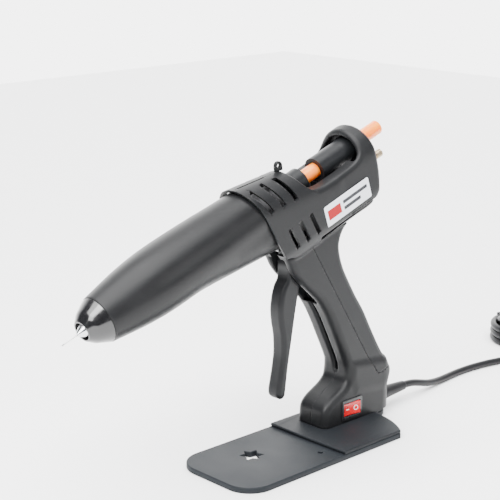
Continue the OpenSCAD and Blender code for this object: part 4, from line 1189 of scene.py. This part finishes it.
PLATE_FRONT, PAD_FRONT = -126, 8.0
PLATE_TOP = 6.2
STAND_MID, STAND_HW = -20, 53.5     # the stand's middle line and half width
REAR_X, REAR_R = 26, 86             # the rear arc
LUG_X, LUG_R = 123, 18              # the round lug behind the foot
CORNER_R = 28
STAR_X, STAR_Y, STAR_R = -60.3, -9, 12.2


def stand_outline(front):
    """The plate's outline from a front edge, with the plate's round front corners or the pad's bowed edge."""
    side0, side1 = STAND_MID - STAND_HW, STAND_MID + STAND_HW
    rear, meet_left, meet_right = (math.degrees(math.asin(reach / REAR_R)) for reach in (STAND_HW, 2.0, 38.0))
    points = arc((REAR_X, STAND_MID), REAR_R, -rear, meet_left - 3, 20)
    points += arc((LUG_X, 0), LUG_R, -90, 90, 30)
    points += arc((REAR_X, STAND_MID), REAR_R, meet_right, rear, 12)
    if front > PLATE_FRONT + CORNER_R:
        return points + rounded([(front + 1, side1, 0), (front, side1, 0.8), (front - 0.5, side1 - 20, 8),
                                 (front - 0.9, STAND_MID, 10), (front - 0.5, side0 + 20, 8),
                                 (front, side0, 0.8), (front + 1, side0, 0)])
    points += arc((front + CORNER_R, side1 - CORNER_R), CORNER_R, 90, 180, 16)
    return points + arc((front + CORNER_R, side0 + CORNER_R), CORNER_R, 180, 270, 16)


def star_points():
    """Two three-cornered holes laid over each other, their corners slightly eased."""
    outer, inner = STAR_R, STAR_R / 2 / math.cos(math.radians(30))
    points = []
    for k in range(6):
        for angle, radius in ((60 * k - 34.6, outer), (60 * k - 4.6, inner)):
            a = math.radians(angle)
            points.append((STAR_X + radius * math.cos(a), STAR_Y + radius * math.sin(a), 0.6))
    points.append(points[0])
    return rounded(points, 2)[:-1]


def make_stand():
    screws = [(x, y) for x in STAND_SCREW_X for y in (-STAND_SCREW_Y, STAND_SCREW_Y)]
    holes = [star_points(), circle_points(2.6, 32, (-4.7, -51.6))] + [circle_points(4.2, 24, p) for p in screws]
    plate = plate_mesh("stand_plate", stand_outline(PLATE_FRONT), holes, 0.0, PLATE_TOP, 1.1)
    finish_piece(plate, "stand_base", "stand_coat", "root", ("stand_plate",))
    holes = [circle_points(2.2, 24, p) for p in screws]
    pad = plate_mesh("stand_pad", stand_outline(PAD_FRONT), holes, PLATE_TOP, PAD_TOP, 1.2)
    finish_piece(pad, "stand_raised_pad", "pad_coat", "root", ("stand_pad",))


def label_place(mesh):
    """Turns a plate lying in X and Y so that it lies on the housing's left side, along the barrel."""
    mesh.transform(Matrix(((COS, -SIN, 0, AXIS_X * MM), (0, 0, -1, -HOUSE_HW * MM), (SIN, COS, 0, AXIS_Z * MM),
                           (0, 0, 0, 1))))
    return mesh


def bar(s0, s1, e0, e1, radius=0.3):
    """A rectangle's outline with round corners."""
    return rounded([(s0 + 1, e0, 0), (s1, e0, radius), (s1, e1, radius), (s0, e1, radius), (s0, e0, radius),
                    (s0 + 1, e0, 0)], 3)[:-1]


def make_label():
    """A plain rating plate: a white card with a red band and two plain grey bars, no lettering."""
    card = plate_mesh("label_plate", bar(87.6, 154.4, -44.7, -22.9, 2.0), [], 0.0, 0.6, 0.18)
    finish_piece(label_place(card), "label_card", "label_white", "root", ("label_plate",))
    band = plate_mesh("label_band", bar(91.0, 110.0, -39.0, -28.6), [], 0.55, 0.64, 0.02)
    finish_piece(label_place(band), "label_band", "label_red", "root", ())
    for i, (s0, s1, e0, e1) in enumerate(((114.0, 150.5, -32.2, -28.6), (114.0, 139.0, -39.0, -35.4))):
        grey = plate_mesh("label_bar", bar(s0, s1, e0, e1), [], 0.55, 0.64, 0.02)
        finish_piece(label_place(grey), f"label_bar_{i}", "label_grey", "root", ())


make_switch()
make_stand()
make_label()


# ---------------------------------------------------------------- CAD nodes that are shown as they are

# Material, then its nodes, each with the width of its rounded edges
CAD_LOOKS = {
    "zinc_steel": {"stand_screws": 0.25, "shell_screws": 0.3, "adjuster_nut": 0.35, "clamp_jaw": 0.15,
                   "jaw_pin": 0.2, "drive_links": 0.25, "link_pin": 0.2, "drive_pin": 0.2,
                   "trigger_pin": 0.2},
    "chamber_alloy": {"melt_chamber": 0.5},
    "heater_ceramic": {"heater_cartridges": 0.3},
    "thermostat_body": {"thermostat": 0.3},
    "spacer_board": {"front_spacer": 0.2, "rear_spacer": 0.2},
    "inner_black": {"inlet_sleeve": 0.4, "feed_carriage": 0.6, "cord_clamp": 0.4},
    "rod_steel": {"guide_rods": 0.3, "trigger_spring": 0.0},
    "lead_sleeve": {"lead_bundle": 0.0},
    "adjuster_brass": {"stroke_adjuster": 0.3, "adjuster_knob": 0.18},
    "terminal_brass": {"switch_terminals": 0.1},
    "board_green": {"control_board": 0.15},
    "component_grey": {"board_parts": 0.25},
    "terminal_white": {"terminal_block": 0.3},
}


def dress(name, material, width):
    """Gives a CAD node its material and rounds its edges."""
    node = next(o for o in bpy.data.objects if o.type == "MESH" and name in (o.name, o.get("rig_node")))
    node.data.materials.clear()
    node.data.materials.append(MATERIALS[material])
    node.data.polygons.foreach_set("use_smooth", [True] * len(node.data.polygons))
    node.data.set_sharp_from_angle(angle=math.radians(32))
    if width:
        bevel = node.modifiers.new("edges", "BEVEL")
        bevel.width = width * MM
        bevel.segments = 2
        bevel.limit_method = "ANGLE"
        bevel.angle_limit = math.radians(40)
        bevel.harden_normals = True


for cad_material, widths in CAD_LOOKS.items():
    for node_name, edge_width in widths.items():
        dress(node_name, cad_material, edge_width)


# ---------------------------------------------------------------- floor and light

def make_floor():
    bm = bmesh.new()
    for x, y in ((-1.6, -1.6), (2.4, -1.6), (2.4, 2.4), (-1.6, 2.4)):
        bm.verts.new((x, y, 0.0))
    bm.faces.new(bm.verts[:])
    mesh = bpy.data.meshes.new("floor")
    bm.to_mesh(mesh)
    bm.free()
    material, nodes, links, shader = new_material("floor_paper", (0.93, 0.93, 0.93), 0.75)
    paper = noise(nodes, links, 400.0, 3.0)
    bumps(nodes, links, shader, [(paper, 0.05, 0.05)])
    mesh.materials.append(material)
    floor = bpy.data.objects.new("floor", mesh)
    bpy.context.collection.objects.link(floor)


def area_light(name, place, target, width, height, power, color=(1.0, 1.0, 1.0)):
    data = bpy.data.lights.new(name, "AREA")
    data.shape = "RECTANGLE"
    data.size, data.size_y = width, height
    data.energy = power
    data.color = color
    light = bpy.data.objects.new(name, data)
    light.location = place
    light.rotation_euler = (Vector(target) - Vector(place)).to_track_quat("-Z", "Y").to_euler()
    bpy.context.collection.objects.link(light)


def make_light():
    """A white paper sweep behind the gun, a dimmer room in front of it, two soft boxes and a broad overhead
    sun.
    """
    world = bpy.data.worlds.new("studio")
    world.use_nodes = True
    nodes, links = world.node_tree.nodes, world.node_tree.links
    background = nodes["Background"]
    coordinates = nodes.new("ShaderNodeTexCoord")
    facing = nodes.new("ShaderNodeVectorMath")
    facing.operation = "DOT_PRODUCT"
    facing.inputs[1].default_value = (0.683, 0.730, -0.05)
    links.new(coordinates.outputs["Generated"], facing.inputs[0])
    sweep_ramp = nodes.new("ShaderNodeValToRGB")
    sweep_ramp.color_ramp.elements[0].position = 0.30
    sweep_ramp.color_ramp.elements[0].color = (0.045, 0.046, 0.05, 1.0)
    sweep_ramp.color_ramp.elements[1].position = 0.86
    sweep_ramp.color_ramp.elements[1].color = (1.0, 1.0, 1.0, 1.0)
    links.new(facing.outputs["Value"], sweep_ramp.inputs["Fac"])
    links.new(sweep_ramp.outputs["Color"], background.inputs["Color"])
    background.inputs["Strength"].default_value = 5.5
    bpy.context.scene.world = world
    middle = (-0.02, 0.0, 0.2)
    area_light("key_left", (-1.3, -0.35, 1.15), middle, 0.6, 1.1, 38)
    area_light("right", (0.6, -1.6, 0.9), middle, 0.6, 0.9, 10)
    sun = bpy.data.lights.new("overhead", "SUN")
    sun.energy = 12.0
    sun.angle = math.radians(70)
    overhead = bpy.data.objects.new("overhead", sun)
    overhead.rotation_euler = Vector((0.25, 0.1, -1.0)).to_track_quat("-Z", "Y").to_euler()
    bpy.context.collection.objects.link(overhead)


make_floor()
make_light()
